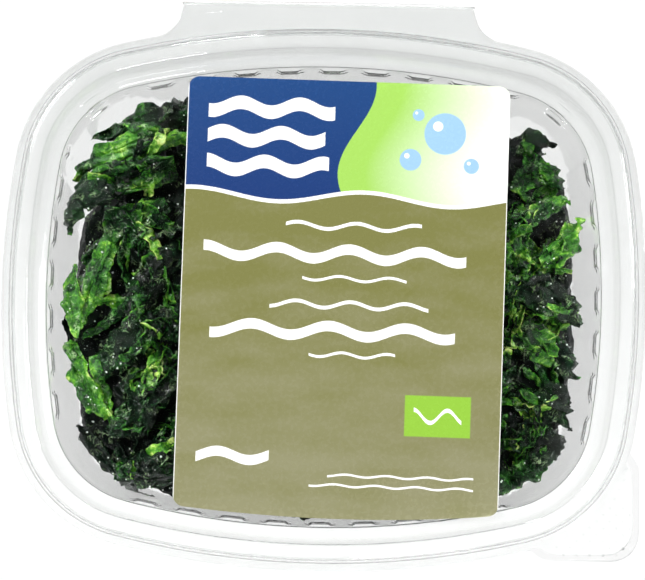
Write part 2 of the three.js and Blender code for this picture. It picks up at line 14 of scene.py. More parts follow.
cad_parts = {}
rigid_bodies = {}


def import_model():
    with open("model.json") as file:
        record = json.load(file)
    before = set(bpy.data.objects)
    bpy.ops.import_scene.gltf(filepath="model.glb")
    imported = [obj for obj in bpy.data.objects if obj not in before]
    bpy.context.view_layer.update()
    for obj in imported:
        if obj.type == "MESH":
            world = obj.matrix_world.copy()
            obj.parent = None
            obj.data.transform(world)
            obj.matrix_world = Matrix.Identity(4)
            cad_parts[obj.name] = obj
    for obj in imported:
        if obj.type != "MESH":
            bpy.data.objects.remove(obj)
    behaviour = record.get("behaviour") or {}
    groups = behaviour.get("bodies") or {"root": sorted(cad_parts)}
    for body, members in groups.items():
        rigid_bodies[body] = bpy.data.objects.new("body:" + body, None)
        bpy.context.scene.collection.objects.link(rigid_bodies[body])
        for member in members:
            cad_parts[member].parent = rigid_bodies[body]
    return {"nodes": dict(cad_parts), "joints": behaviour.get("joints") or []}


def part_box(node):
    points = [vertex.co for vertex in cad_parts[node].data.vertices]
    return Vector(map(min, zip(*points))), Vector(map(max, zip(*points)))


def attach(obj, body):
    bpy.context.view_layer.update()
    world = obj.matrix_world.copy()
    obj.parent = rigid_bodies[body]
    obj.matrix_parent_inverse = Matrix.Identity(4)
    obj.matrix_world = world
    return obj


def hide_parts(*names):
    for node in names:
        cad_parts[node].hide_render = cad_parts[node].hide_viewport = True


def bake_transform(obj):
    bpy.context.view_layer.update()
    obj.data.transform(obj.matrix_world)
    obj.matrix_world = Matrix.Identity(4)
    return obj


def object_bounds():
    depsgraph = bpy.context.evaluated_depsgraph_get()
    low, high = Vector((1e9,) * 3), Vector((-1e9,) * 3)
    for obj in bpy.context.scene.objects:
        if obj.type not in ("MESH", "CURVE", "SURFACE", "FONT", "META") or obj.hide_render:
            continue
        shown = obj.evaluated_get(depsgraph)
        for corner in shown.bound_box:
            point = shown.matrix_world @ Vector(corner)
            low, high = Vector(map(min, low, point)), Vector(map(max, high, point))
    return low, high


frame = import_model()
cad_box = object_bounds()
MM = 0.001


# The camera looks almost straight down on the lid from about arm's length, tilted a
# little towards the hinge and turned by about a degree.
CAMERA_AIM = Vector((-0.33, -0.95, 45.0)) * MM
CAMERA_DISTANCE = 440 * MM
CAMERA_TILT = math.radians(3.4)
CAMERA_ROLL = math.radians(1.0)
CAMERA_LENS = 111.6
SENSOR_WIDTH = 36.0
NEAREST_SEEN = 0.01
camera_data = bpy.data.cameras.new("camera")
camera_data.lens = CAMERA_LENS
camera_data.sensor_width = SENSOR_WIDTH
camera_data.clip_start = NEAREST_SEEN
camera = bpy.data.objects.new("camera", camera_data)
bpy.context.scene.collection.objects.link(camera)
camera.location = CAMERA_AIM + CAMERA_DISTANCE * Vector((0, -math.sin(CAMERA_TILT), math.cos(CAMERA_TILT)))
camera.rotation_mode = "QUATERNION"
camera.rotation_quaternion = (CAMERA_AIM - camera.location).to_track_quat("-Z", "Y") @ Quaternion(
    (0, 0, 1), CAMERA_ROLL
)
bpy.context.scene.camera = camera


# The floor is a plain white light table, and the room is bright at its sides and dark
# overhead, so that the flat panel mirrors nothing into the camera.
def link_piece(name, mesh):
    """A new object of this name, in the scene."""
    piece = bpy.data.objects.new(name, mesh)
    bpy.context.scene.collection.objects.link(piece)
    return piece


def new_mesh(name, verts, faces):
    mesh = bpy.data.meshes.new(name)
    mesh.from_pydata(verts, [], faces)
    return mesh


def new_material(name):
    """A material, its node tree and its main shader."""
    material = bpy.data.materials.new(name)
    material.use_nodes = True
    return material, material.node_tree, material.node_tree.nodes["Principled BSDF"]


def set_inputs(node, values):
    """Sets inputs of a node, each to a plain value or to another node's output."""
    for socket, value in values.items():
        if isinstance(value, bpy.types.NodeSocket):
            node.id_data.links.new(value, node.inputs[socket])
        else:
            node.inputs[socket].default_value = value


def add_node(tree, kind, values=None):
    node = tree.nodes.new(kind)
    set_inputs(node, values or {})
    return node


def fill_ramp(ramp, stops):
    """Gives a colour ramp these stops, each a position and a colour."""
    elements = ramp.color_ramp.elements
    while len(elements) < len(stops):
        elements.new(0.5)
    for element, (position, colour) in zip(elements, stops):
        element.position = position
        element.color = colour


FLOOR_HALF = 2.5
FLOOR_DROP = 0.1 * MM
FLOOR_GLOW = 0.98
FLOOR_SIGNS = ((-1, -1), (1, -1), (1, 1), (-1, 1))
floor_corners = [(sx * FLOOR_HALF, sy * FLOOR_HALF, -FLOOR_DROP) for sx, sy in FLOOR_SIGNS]
floor_mesh = new_mesh("floor", floor_corners, [(0, 1, 2, 3)])
floor = link_piece("floor", floor_mesh)
floor_paint, _, floor_shader = new_material("floor_paint")
set_inputs(floor_shader, {"Base Color": (0.04, 0.04, 0.04, 1), "Roughness": 0.8, "Specular IOR Level": 0.0})
set_inputs(floor_shader, {"Emission Color": (1, 1, 1, 1), "Emission Strength": FLOOR_GLOW})
floor_mesh.materials.append(floor_paint)

# How bright the room is by the height that one looks at, from the horizon to straight up
ROOM_GLOW = [(0.0, 0.5), (0.12, 0.4), (0.28, 0.06), (0.6, 0.06), (0.88, 0.008)]
room = bpy.data.worlds.new("room")
room.use_nodes = True
bpy.context.scene.world = room
room_tree = room.node_tree
room_place = add_node(room_tree, "ShaderNodeTexCoord").outputs["Generated"]
room_split = add_node(room_tree, "ShaderNodeSeparateXYZ", {0: room_place})
room_ramp = add_node(room_tree, "ShaderNodeValToRGB", {"Fac": room_split.outputs["Z"]})
fill_ramp(room_ramp, [(position, (glow, glow, glow, 1)) for position, glow in ROOM_GLOW])
set_inputs(room_tree.nodes["Background"], {"Color": room_ramp.outputs["Color"]})

# Each lamp: name, place and width in metres, watts
LAMPS = [
    ("key_lamp", (-0.42, 0.30, 0.62), 0.22, 5.8),
    ("fill_lamp", (0.50, 0.12, 0.52), 0.16, 2.9),
    ("front_lamp", (0.10, -0.55, 0.50), 0.13, 1.7),
    ("spark_lamp", (-0.12, 0.62, 0.55), 0.1, 1.5),
]
for lamp_name, lamp_place, lamp_width, lamp_watts in LAMPS:
    lamp_data = bpy.data.lights.new(lamp_name, "AREA")
    lamp_data.shape = "SQUARE"
    lamp_data.size = lamp_width
    lamp_data.energy = lamp_watts
    lamp = link_piece(lamp_name, lamp_data)
    lamp.location = lamp_place
    lamp.rotation_euler = (-Vector(lamp_place)).to_track_quat("-Z", "Y").to_euler()
scene = bpy.context.scene
scene.view_settings.view_transform = "Standard"
scene.view_settings.look = "None"


# The tub is one sheet of clear plastic, about a third of a millimetre thick, drawn into
# a mould while hot. Its wall has shallow flutes that end in small stacking lugs under
# the rim, and its flange runs out to the fold at the back and to a thumb tab in front.
HALF_X = 68.9
HALF_Y = 58.5
SIDE_ARC = 185.0
END_ARC = 191.0
CORNER_ARC = 28.8
FLANGE_WIDTH = 2.1
SHEET = 0.35
FOLD_Y = HALF_Y + 6.2
FOLD_GAP = 0.15
# The box runs from the flange in front to the strips at the back, so its middle isn't the bead's
MIDDLE_Y = (cad_box[0][1] + cad_box[1][1]) / 2 / MM - (FOLD_Y - FOLD_GAP - HALF_Y - FLANGE_WIDTH) / 2
HINGE_HALF = 32.5
HINGE_FLARE = 7.0
FLARE_GAP = 1.0
TAB_PLACE = (57.3, -44.8)
TAB_CORNER = 6.0
TUB_TAB_HALF = 11.3
TUB_FLANGE_Z = 43.0
FLANGE_ROWS = 13
EDGE_STEP = 0.2
EDGE_LIMIT = 16
RIM_SPACING = 0.9
# Lugs and flutes: how far apart and how long they are, how far they stand in, the heights where
# each starts, is whole, begins to fade and ends, and how far from the middle of a side they run
LUG_PITCH = 9.7
LUG_LENGTH = 4.9
LUG_DEPTH = 0.55
LUG_HEIGHTS = (36.3, 37.1, 39.6, 40.4)
FLUTE_DEPTH = 0.16
FLUTE_HEIGHTS = (4, 9, 35, 36.5)
LUG_PHASE = {"right": 0.0, "left": 3.8, "back": 1.2, "front": 0.0}
SIDE_LUG_REACH = 31.0
END_LUG_REACH = 44.0
# The tub's section, from the flange in: how far out of the bead's outline, and the height
TUB_RIM = [(0.6, TUB_FLANGE_Z), (-0.36, TUB_FLANGE_Z), (-0.42, 46.4), (-1.4, 47.2)]
TUB_RIM += [(-3.2, 47.2), (-3.8, 46.5), (-4.9, 42.8), (-7.3, 41.8)]
TUB_WALL_BEND = (-7.8, 36.0)
TUB_WALL_FOOT = (-10.1, 6.0)
TUB_BASE = [(-11.4, 2.4), (-14.5, SHEET / 2), (-18.7, SHEET / 2), (-20.3, 0.9)]
TUB_CENTRE_Z = 0.9
CORNER_EASE = 0.9
SHEET_IOR = 1.32
TUB_CLEARNESS = 0.935
# From this height down the sheet is drawn thin, and mirrors less than the rim
WALL_TOP = 41.0
DRAWN_WALL_IOR = 1.12
DRAWN_WALL_CLEARNESS = 0.99


def smooth_step(low, high, value):
    t = min(1.0, max(0.0, (value - low) / (high - low)))
    return t * t * (3 - 2 * t)


def raised(value, foot, top, end, away):
    """One from top to end, easing to none at foot and at away."""
    return smooth_step(foot, top, value) * (1 - smooth_step(end, away, value))


def corner_centre():
    """Where the corner's arc has its centre, so that it meets the side's and the end's arcs."""
    side_x = HALF_X - SIDE_ARC
    end_y = HALF_Y - END_ARC
    to_side = SIDE_ARC - CORNER_ARC
    to_end = END_ARC - CORNER_ARC
    span = math.hypot(side_x, end_y)
    along = (to_side**2 - to_end**2 + span**2) / (2 * span)
    across = math.sqrt(to_side**2 - along**2)
    ux, uy = -side_x / span, end_y / span
    return side_x + ux * along - uy * across, uy * along + ux * across


CORNER_X, CORNER_Y = corner_centre()
SIDE_TURN = math.atan2(CORNER_Y, CORNER_X - (HALF_X - SIDE_ARC))
END_TURN = math.atan2(CORNER_Y - (HALF_Y - END_ARC), CORNER_X)


def rim_point(turn, offset):
    """The point with this outward direction on the bead's outline, moved out by an offset."""
    c, s = math.cos(turn), math.sin(turn)
    fold = math.atan2(abs(s), abs(c))
    fc, fs = math.cos(fold), math.sin(fold)
    if fold <= SIDE_TURN:
        x, y = HALF_X - SIDE_ARC + (SIDE_ARC + offset) * fc, (SIDE_ARC + offset) * fs
    elif fold >= END_TURN:
        x, y = (END_ARC + offset) * fc, HALF_Y - END_ARC + (END_ARC + offset) * fs
    else:
        x, y = CORNER_X + (CORNER_ARC + offset) * fc, CORNER_Y + (CORNER_ARC + offset) * fs
    return math.copysign(x, c), math.copysign(y, s)


def rim_turns(spacing):
    """Outward directions round the whole rim, about this far apart along it."""
    quadrant = []
    arcs = [(0, SIDE_TURN, SIDE_ARC), (SIDE_TURN, END_TURN, CORNER_ARC), (END_TURN, math.pi / 2, END_ARC)]
    for start, stop, radius in arcs:
        count = max(2, round((stop - start) * radius / spacing))
        quadrant += [start + (stop - start) * k / count for k in range(count)]
    mirrored = [math.pi - turn for turn in reversed(quadrant[1:])]
    upper = quadrant + [math.pi / 2] + mirrored
    return upper + [turn + math.pi for turn in upper]


TURNS = rim_turns(RIM_SPACING)


def inside_strip_or_tab(x, y, tab_half):
    """Whether the strip at the fold or the thumb tab covers this place."""
    back = FOLD_Y - FOLD_GAP
    flare_y = FOLD_Y - FLARE_GAP
    if 0 < y <= back:
        dip = min(HINGE_FLARE, max(0.0, flare_y - y))
        if abs(x) <= HINGE_HALF + HINGE_FLARE - math.sqrt(HINGE_FLARE**2 - dip**2):
            return True
    qx = abs(x - TAB_PLACE[0]) - (tab_half - TAB_CORNER)
    qy = abs(y - TAB_PLACE[1]) - (tab_half - TAB_CORNER)
    return math.hypot(max(qx, 0), max(qy, 0)) + min(max(qx, qy), 0) <= TAB_CORNER


def sheet_edge(turn, tab_half):
    """How far out of the bead the sheet runs here."""
    low, high = FLANGE_WIDTH, FLANGE_WIDTH
    while high < EDGE_LIMIT and inside_strip_or_tab(*rim_point(turn, high + EDGE_STEP), tab_half):
        high += EDGE_STEP
        low = high
    high = low + EDGE_STEP
    for _ in range(8):
        middle = (low + high) / 2
        if low > FLANGE_WIDTH and inside_strip_or_tab(*rim_point(turn, middle), tab_half):
            low = middle
        else:
            high = middle
    return low


def rounded_section(corners, radius, steps):
    """A section with each corner eased by a short curve."""
    points = [corners[0]]
    for before, corner, after in zip(corners, corners[1:], corners[2:]):
        into = Vector(before) - Vector(corner)
        out = Vector(after) - Vector(corner)
        reach = min(radius, into.length * 0.45, out.length * 0.45)
        start = Vector(corner) + into.normalized() * reach
        stop = Vector(corner) + out.normalized() * reach
        for k in range(steps + 1):
            t = k / steps
            points.append(tuple(start * (1 - t) ** 2 + Vector(corner) * 2 * t * (1 - t) + stop * t * t))
    return points + [corners[-1]]


def between(start, stop, count):
    """The points that part a line into this many lengths."""
    return [tuple(Vector(start).lerp(Vector(stop), k / count)) for k in range(1, count)]


def lug_share(x, y):
    """One on a lug's or flute's stretch of the wall, none between them and at the corners."""
    if abs(x) / HALF_X > abs(y) / HALF_Y:
        along, limit, phase = y, SIDE_LUG_REACH, LUG_PHASE["right" if x > 0 else "left"]
    else:
        along, limit, phase = x, END_LUG_REACH, LUG_PHASE["back" if y > 0 else "front"]
    near = (along - phase) / LUG_PITCH
    off = abs(near - round(near)) * LUG_PITCH
    return (1 - smooth_step(LUG_LENGTH / 2 - 0.5, LUG_LENGTH / 2 + 0.3, off)) * (
        1 - smooth_step(limit, limit + 2, abs(along))
    )


def band_faces(rows, columns, closed=False, base=0):
    """Four-sided faces between rows of points, each row joined end to end where closed."""
    faces = []
    for r in range(rows - 1):
        for k in range(columns if closed else columns - 1):
            point, following = base + r * columns + k, base + r * columns + (k + 1) % columns
            faces.append((point, following, following + columns, point + columns))
    return faces


def sheet_mesh(name, section, edge_z, tab_half, shape, centre_z, centre_scales):
    """The sheet's middle surface: flange rows, then the section inwards, then to the centre."""
    verts, rows = [], []
    edges = [sheet_edge(turn, tab_half) for turn in TURNS]
    first = section[0][0]
    for k in range(FLANGE_ROWS):
        share = k / FLANGE_ROWS
        rows.append([(edge + (first - edge) * share, edge_z) for edge in edges])
    rows += [[point] * len(TURNS) for point in section]
    for row in rows:
        for turn, (offset, z) in zip(TURNS, row):
            x, y = rim_point(turn, offset)
            offset, z = shape(turn, x, y, offset, z)
            x, y = rim_point(turn, offset)
            verts.append((x * MM, (y + MIDDLE_Y) * MM, z * MM))
    count = len(TURNS)
    last = verts[-count:]
    for scale in centre_scales:
        verts += [(x * scale, MIDDLE_Y * MM + (y - MIDDLE_Y * MM) * scale, centre_z * MM) for x, y, _ in last]
    total_rows = len(verts) // count
    bands = band_faces(total_rows, count, closed=True)
    faces = [(outer, inner, inner_next, outer_next) for outer, outer_next, inner_next, inner in bands]
    faces.append(tuple((total_rows - 1) * count + k for k in reversed(range(count))))
    return new_mesh(name, verts, faces)


def give_thickness(piece, thickness):
    """The piece's thickness, half on each side of its mesh."""
    sheet = piece.modifiers.new("thickness", "SOLIDIFY")
    sheet.thickness = thickness * MM
    sheet.offset = 0.0


def formed_sheet(name, mesh, material):
    """A piece with the sheet's thickness, shaded smooth."""
    piece = link_piece(name, mesh)
    mesh.materials.append(material)
    mesh.shade_smooth()
    give_thickness(piece, SHEET)
    return piece


def math_step(tree, operation, *values):
    """One step of arithmetic on sockets and numbers."""
    node = add_node(tree, "ShaderNodeMath", dict(enumerate(values)))
    node.operation = operation
    return node.outputs[0]


def stretch(tree, value, start, stop, to_start=0.0, to_stop=1.0):
    """Turns a run from start to stop into one from to_start to to_stop, and no further."""
    ends = {"From Min": start, "From Max": stop, "To Min": to_start, "To Max": to_stop}
    return add_node(tree, "ShaderNodeMapRange", {"Value": value, **ends}).outputs["Result"]


# The plastic's tint where the sheet is thin, and where it is thick with painted shade that is greyest towards
# the back, and for its shadow
THIN_TINT = (0.99, 0.992, 0.991, 1)
THICK_AND_SHADED_TINT = (0.85, 0.856, 0.853, 1)
SHADOW_TINT = (0.93, 0.94, 0.935, 1)


def clear_sheet(name, clearness, ior=SHEET_IOR):
    """Clear formed plastic: faintly wavy, drawn thin down the wall, greyer where it is thick, with painted
    shade that deepens towards the back.
    """
    material, tree, shader = new_material(name)
    place = add_node(tree, "ShaderNodeTexCoord").outputs["Object"]
    wave = add_node(tree, "ShaderNodeTexNoise", {"Vector": place, "Scale": 110.0, "Detail": 2.0})
    height = wave.outputs["Fac"]
    bump = add_node(tree, "ShaderNodeBump", {"Strength": 0.35, "Distance": 0.06 * MM, "Height": height})
    axes = add_node(tree, "ShaderNodeSeparateXYZ", {0: place}).outputs
    upward = stretch(tree, axes["Z"], 36 * MM, 42.5 * MM)
    # Painted shade: the sheet's tint turns greyer towards the back
    shade_to_back = stretch(tree, axes["Y"], -50 * MM, 52 * MM, 0.15)
    uneven = math_step(tree, "MULTIPLY_ADD", height, 0.08, math_step(tree, "MULTIPLY", upward, shade_to_back))
    tint = add_node(tree, "ShaderNodeValToRGB", {"Fac": uneven})
    fill_ramp(tint, [(0.0, THIN_TINT), (1.0, THICK_AND_SHADED_TINT)])
    set_inputs(shader, {"Base Color": tint.outputs["Color"], "Normal": bump.outputs["Normal"]})
    set_inputs(shader, {"Roughness": 0.025, "IOR": ior, "Transmission Weight": clearness})
    rays = add_node(tree, "ShaderNodeLightPath").outputs["Is Shadow Ray"]
    through = add_node(tree, "ShaderNodeBsdfTransparent", {"Color": SHADOW_TINT}).outputs["BSDF"]
    blend = add_node(tree, "ShaderNodeMixShader", {"Fac": rays, 1: shader.outputs["BSDF"], 2: through})
    set_inputs(tree.nodes["Material Output"], {"Surface": blend.outputs["Shader"]})
    return material


def tub_shape(turn, x, y, offset, z):
    """Lugs under the rim and flutes down the wall."""
    if z > 41.9 or z < 3 or offset > -7:
        return offset, z
    lug = LUG_DEPTH * raised(z, *LUG_HEIGHTS)
    flute = FLUTE_DEPTH * raised(z, *FLUTE_HEIGHTS)
    return offset - lug_share(x, y) * max(lug, flute), z


tub_material = clear_sheet("hazy_clear_sheet", TUB_CLEARNESS)
tub_corners = TUB_RIM + [TUB_WALL_FOOT] + TUB_BASE
tub_section = rounded_section(tub_corners, CORNER_EASE, 3)
wall_top_index = max(k for k, p in enumerate(tub_section) if p[1] > 20.0)
wall_rows = between(tub_section[wall_top_index], TUB_WALL_BEND, 9) + [TUB_WALL_BEND]
wall_rows += between(TUB_WALL_BEND, TUB_WALL_FOOT, 8)
tub_section = tub_section[: wall_top_index + 1] + wall_rows + tub_section[wall_top_index + 1 :]
tub_rings = (0.97, 0.85, 0.6, 0.3, 0.08)
tub_mesh = sheet_mesh(
    "tub_sheet", tub_section, TUB_FLANGE_Z, TUB_TAB_HALF, tub_shape, TUB_CENTRE_Z, tub_rings
)
tub_piece = formed_sheet("tub_sheet", tub_mesh, tub_material)
tub_mesh.materials.append(clear_sheet("thin_drawn_wall", DRAWN_WALL_CLEARNESS, DRAWN_WALL_IOR))
for face in tub_mesh.polygons:
    face.material_index = 1 if face.center.z < WALL_TOP * MM else 0
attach(tub_piece, "tub")
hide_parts("tub")


# The lid is the other half of the same sheet. Its bead sits over the tub's, its panel is
# sunk inside the bead, and short ribs run along the foot of the bead at both back corners.
LID_TAB_HALF = 12.5
LID_FLANGE_Z = 44.1
PANEL_Z = 44.12
LID_RIM = [(0.9, LID_FLANGE_Z), (0.1, LID_FLANGE_Z), (0.06, 47.0), (-1.0, 48.35)]
LID_RIM += [(-3.9, 48.35), (-4.9, 47.3), (-7.1, PANEL_Z), (-10.5, PANEL_Z)]
HINGE_RIB_BACK = 2.7
HINGE_RIB_WIDTH = 0.45
HINGE_RIB_HEIGHT = 0.35
CORNER_RIB_TURNS = (math.radians(130), math.radians(50))
CORNER_RIB_HALF = 2.7
CORNER_RIB_SPAN = (-10.4, -9.8, -6.0, -5.4)
CORNER_RIB_CREST = -5.3
CORNER_RIB_PITCH = 1.15
CORNER_RIB_HEIGHT = 0.6


def lid_shape(turn, x, y, offset, z):
    """The rib beside the fold, and the short ribs at the back corners."""
    if offset > 0.5 and y > 0:
        ridge_line = FOLD_Y - HINGE_RIB_BACK
        rib = math.exp(-(((y - ridge_line) / HINGE_RIB_WIDTH) ** 2))
        inside = 1 - smooth_step(HINGE_HALF - 3, HINGE_HALF, abs(x))
        return offset, z + HINGE_RIB_HEIGHT * rib * inside
    if CORNER_RIB_SPAN[0] < offset < CORNER_RIB_SPAN[-1]:
        for rib_turn in CORNER_RIB_TURNS:
            aside = abs(turn - rib_turn) * (CORNER_ARC + offset)
            share = 1 - smooth_step(CORNER_RIB_HALF - 0.6, CORNER_RIB_HALF, aside)
            wave = 0.5 + 0.5 * math.cos(2 * math.pi * (offset - CORNER_RIB_CREST) / CORNER_RIB_PITCH)
            z += CORNER_RIB_HEIGHT * share * raised(offset, *CORNER_RIB_SPAN) * wave
    return offset, z


lid_section = rounded_section(LID_RIM, CORNER_EASE, 4)
slope_index = max(k for k, p in enumerate(lid_section) if p[1] > 46.0)
foot_index = slope_index + 1
slope_rows = between(lid_section[slope_index], lid_section[foot_index], 16)
panel_rows = between(lid_section[-2], lid_section[-1], 16)
lid_top, lid_foot = lid_section[: slope_index + 1], lid_section[foot_index:-1]
lid_section = lid_top + slope_rows + lid_foot + panel_rows + lid_section[-1:]
lid_rings = (0.8, 0.55, 0.3, 0.08)
lid_mesh = sheet_mesh("lid_sheet", lid_section, LID_FLANGE_Z, LID_TAB_HALF, lid_shape, PANEL_Z, lid_rings)
sheet_material = clear_sheet("clear_sheet", 1.0)
lid_piece = formed_sheet("lid_sheet", lid_mesh, sheet_material)
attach(lid_piece, "lid")
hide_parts("lid")


# The fold is where the sheet turns over itself between the two strips. It is a little hazier
# than the rest, as plastic is where it bends.
FOLD_STEPS = 12
FOLD_COLUMNS = 40
FOLD_BULGE = 0.45
FOLD_INSET = 0.12
FOLD_LAP = 0.25
FOLD_CLEARNESS = 0.8
hinge = frame["joints"][0]
fold_y, fold_z = hinge["pos_m"][1] / MM, hinge["pos_m"][2] / MM
fold_radius = LID_FLANGE_Z - fold_z
fold_verts = []
for step in range(-1, FOLD_STEPS + 2):
    angle = -math.pi / 2 + math.pi * min(1, max(0, step / FOLD_STEPS))
    back = FOLD_LAP if step in (-1, FOLD_STEPS + 1) else FOLD_INSET
    z = fold_z + fold_radius * math.sin(angle)
    for k in range(FOLD_COLUMNS + 1):
        x = -HINGE_HALF + 2 * HINGE_HALF * k / FOLD_COLUMNS
        bulge = FOLD_BULGE * (1 - (abs(x) / (HINGE_HALF + 0.4)) ** 8)
        fold_verts.append((x * MM, (fold_y - back + bulge * math.cos(angle)) * MM, z * MM))
fold_mesh = new_mesh("hinge_fold", fold_verts, band_faces(FOLD_STEPS + 3, FOLD_COLUMNS + 1))
fold_piece = formed_sheet("hinge_fold", fold_mesh, clear_sheet("hazy_fold", FOLD_CLEARNESS))
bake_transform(fold_piece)


# The lid's thumb tab has small pressed grip dots in staggered rows, and four more stand in
# a line beside the bead above them. They are formed in the sheet and hardly show.
DOT_RADIUS = 0.36
DOT_HEIGHT = 0.14
DOT_STEP = 1.45
DOT_START = (60.55, -47.2)
DOT_EDGE = (68.6, -56.1)
DOT_CORNER = 3.6
DOT_FROM_BEAD = 3.0
DOT_BASE_Z = LID_FLANGE_Z + SHEET / 2 + 0.02
BEAD_DOTS = [(66.9, -37.1), (66.5, -39.5), (65.4, -41.7), (64.5, -43.7)]
# A dot's section: its share of the radius and of the height
DOT_SECTION = [(1.0, 0.0), (0.8, 0.5), (0.5, 0.85), (0.2, 1.0)]
DOT_SIDES = 12


def dot_on_tab(x, y):
    """Whether a dot fits on the tab, clear of its rounded corner and of the bead."""
    past_x = max(0, x - DOT_EDGE[0] + DOT_CORNER)
    past_y = max(0, DOT_EDGE[1] + DOT_CORNER - y)
    inside = x < DOT_EDGE[0] and y > DOT_EDGE[1] and math.hypot(past_x, past_y) < DOT_CORNER
    return inside and math.hypot(x - CORNER_X, y + CORNER_Y) - CORNER_ARC > DOT_FROM_BEAD


dot_places = list(BEAD_DOTS)
for column in range(-6, 6):
    for row in range(-1, 7):
        x, y = DOT_START[0] + DOT_STEP * column, DOT_START[1] - DOT_STEP * row
        if (column + row) % 2 and dot_on_tab(x, y):
            dot_places.append((x, y))
dot_verts, dot_faces = [], []
for x, y in dot_places:
    base = len(dot_verts)
    for share, height in DOT_SECTION:
        radius, z = DOT_RADIUS * share, DOT_BASE_Z + DOT_HEIGHT * height
        for k in range(DOT_SIDES):
            angle = 2 * math.pi * k / DOT_SIDES
            across, along = radius * math.cos(angle), radius * math.sin(angle)
            dot_verts.append(((x + across) * MM, (y + MIDDLE_Y + along) * MM, z * MM))
    dot_faces += band_faces(len(DOT_SECTION), DOT_SIDES, closed=True, base=base)
    dot_faces.append(tuple(range(len(dot_verts) - DOT_SIDES, len(dot_verts))))
    dot_faces.append(tuple(reversed(range(base, base + DOT_SIDES))))
dot_mesh = new_mesh("tab_grip_dots", dot_verts, dot_faces)
dot_mesh.materials.append(sheet_material)
dot_piece = link_piece("tab_grip_dots", dot_mesh)
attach(dot_piece, "lid")


# The label is a glossy printed sticker on the panel, a little askew. Its print is a plain
# design: waves and bubbles over a blue and lime heading, and ripples over a sandy field.
LABEL_HALF = (35.65, 47.5)
LABEL_CORNER = 2.5
LABEL_CORNER_STEPS = 8
LABEL_FRONT_BOW = 1.6
LABEL_BOW_STEPS = 12
LABEL_EDGE_LENGTH = 6
LABEL_PLACE = (4.1, 0.0)
LABEL_TURN = math.radians(-1.0)
LABEL_THICK = 0.12
LABEL_WAVE = 0.06
LABEL_Z = PANEL_Z + SHEET / 2 + 0.03
LABEL_RINGS = [1.0, 0.992, 0.9, 0.7, 0.45, 0.2]
corner_mid_x, corner_mid_y = LABEL_HALF[0] - LABEL_CORNER, LABEL_HALF[1] - LABEL_CORNER
bow_lean = math.atan(2 * LABEL_FRONT_BOW / corner_mid_x)
# Each corner: the signs of its centre, and where its arc starts and stops
LABEL_ARCS = [
    (1, 1, 0.0, math.pi / 2),
    (-1, 1, math.pi / 2, math.pi),
    (-1, -1, math.pi, 1.5 * math.pi - bow_lean),
    (1, -1, 1.5 * math.pi + bow_lean, 2 * math.pi),
]
label_outline = []
for sx, sy, arc_start, arc_stop in LABEL_ARCS:
    for k in range(LABEL_CORNER_STEPS + 1):
        angle = arc_start + (arc_stop - arc_start) * k / LABEL_CORNER_STEPS
        x = sx * corner_mid_x + LABEL_CORNER * math.cos(angle)
        label_outline.append((x, sy * corner_mid_y + LABEL_CORNER * math.sin(angle)))
    if (sx, sy) == (-1, -1):
        bow_x, bow_y = label_outline[-1]
        for k in range(1, LABEL_BOW_STEPS):
            share = 1 - 2 * k / LABEL_BOW_STEPS
            drop = abs(bow_x) * math.tan(bow_lean) / 2 * (1 - share * share)
            label_outline.append((bow_x * share, bow_y - drop))
label_rim = []
for k, (x, y) in enumerate(label_outline):
    next_x, next_y = label_outline[(k + 1) % len(label_outline)]
    parts = max(1, round(math.hypot(next_x - x, next_y - y) / LABEL_EDGE_LENGTH))
    label_rim += [(x + (next_x - x) * t / parts, y + (next_y - y) * t / parts) for t in range(parts)]
turn_cos, turn_sin = math.cos(LABEL_TURN), math.sin(LABEL_TURN)
label_verts = []
for scale in LABEL_RINGS:
    for rim_x, rim_y in label_rim:
        u, v = rim_x * scale, rim_y * scale
        x = LABEL_PLACE[0] + u * turn_cos - v * turn_sin
        y = MIDDLE_Y + LABEL_PLACE[1] + u * turn_sin + v * turn_cos
        lift = LABEL_WAVE * noise.noise(Vector((u * 0.09, v * 0.09, 3.0)))
        label_verts.append((x * MM, y * MM, (LABEL_Z + LABEL_THICK / 2 + LABEL_WAVE + lift) * MM))
rim_count = len(label_rim)
label_faces = band_faces(len(LABEL_RINGS), rim_count, closed=True)
label_faces.append(tuple(range(len(label_verts) - rim_count, len(label_verts))))
label_mesh = new_mesh("label_sticker", label_verts, label_faces)
label_piece = link_piece("label_sticker", label_mesh)
give_thickness(label_piece, LABEL_THICK)
label_print, print_tree, print_shader = new_material("label_print")


def sums(operation, *values):
    return math_step(print_tree, operation, *values)


def over(mask, below, above, tree=print_tree):
    """One ink printed over another where the mask says."""
    node = tree.nodes.new("ShaderNodeMix")
    node.data_type = "RGBA"
    set_inputs(node, {0: mask, 6: below, 7: above})
    return node.outputs[2]


def step_up(value, edge, softness=0.06):
    """None below an edge and one above it, with the print's slight softness."""
    return stretch(print_tree, value, edge - softness, edge + softness)


def without(mask):
    """One where the mask is none, and none where it is one."""
    return sums("SUBTRACT", 1.0, mask)


def clamped(value):
    return sums("MINIMUM", sums("MAXIMUM", value, 0.0), 1.0)


INK_WHITE = (0.92, 0.92, 0.9, 1)
INK_BLUE = (0.0135, 0.056, 0.185, 1)
INK_DEEP_BLUE = (0.012, 0.04, 0.16, 1)
INK_LIME = (0.32, 0.57, 0.1, 1)
INK_PALE_BLUE = (0.3, 0.5, 0.72, 1)
INK_OLIVE = (0.18, 0.18, 0.058, 1)
INK_SAND = (0.255, 0.248, 0.14, 1)
INK_BLOCK_LIME = (0.26, 0.5, 0.05, 1)
LABEL_BACK = (0.85, 0.85, 0.83, 1)
print_place = add_node(print_tree, "ShaderNodeTexCoord").outputs
print_mapping = add_node(print_tree, "ShaderNodeMapping", {"Vector": print_place["Object"]})
print_mapping.vector_type = "TEXTURE"
print_middle = Vector((LABEL_PLACE[0], MIDDLE_Y + LABEL_PLACE[1], 0)) * MM
set_inputs(print_mapping, {"Location": print_middle, "Rotation": (0, 0, LABEL_TURN), "Scale": (MM, MM, MM)})
on_label = print_mapping.outputs["Vector"]
print_split = add_node(print_tree, "ShaderNodeSeparateXYZ", {0: on_label})
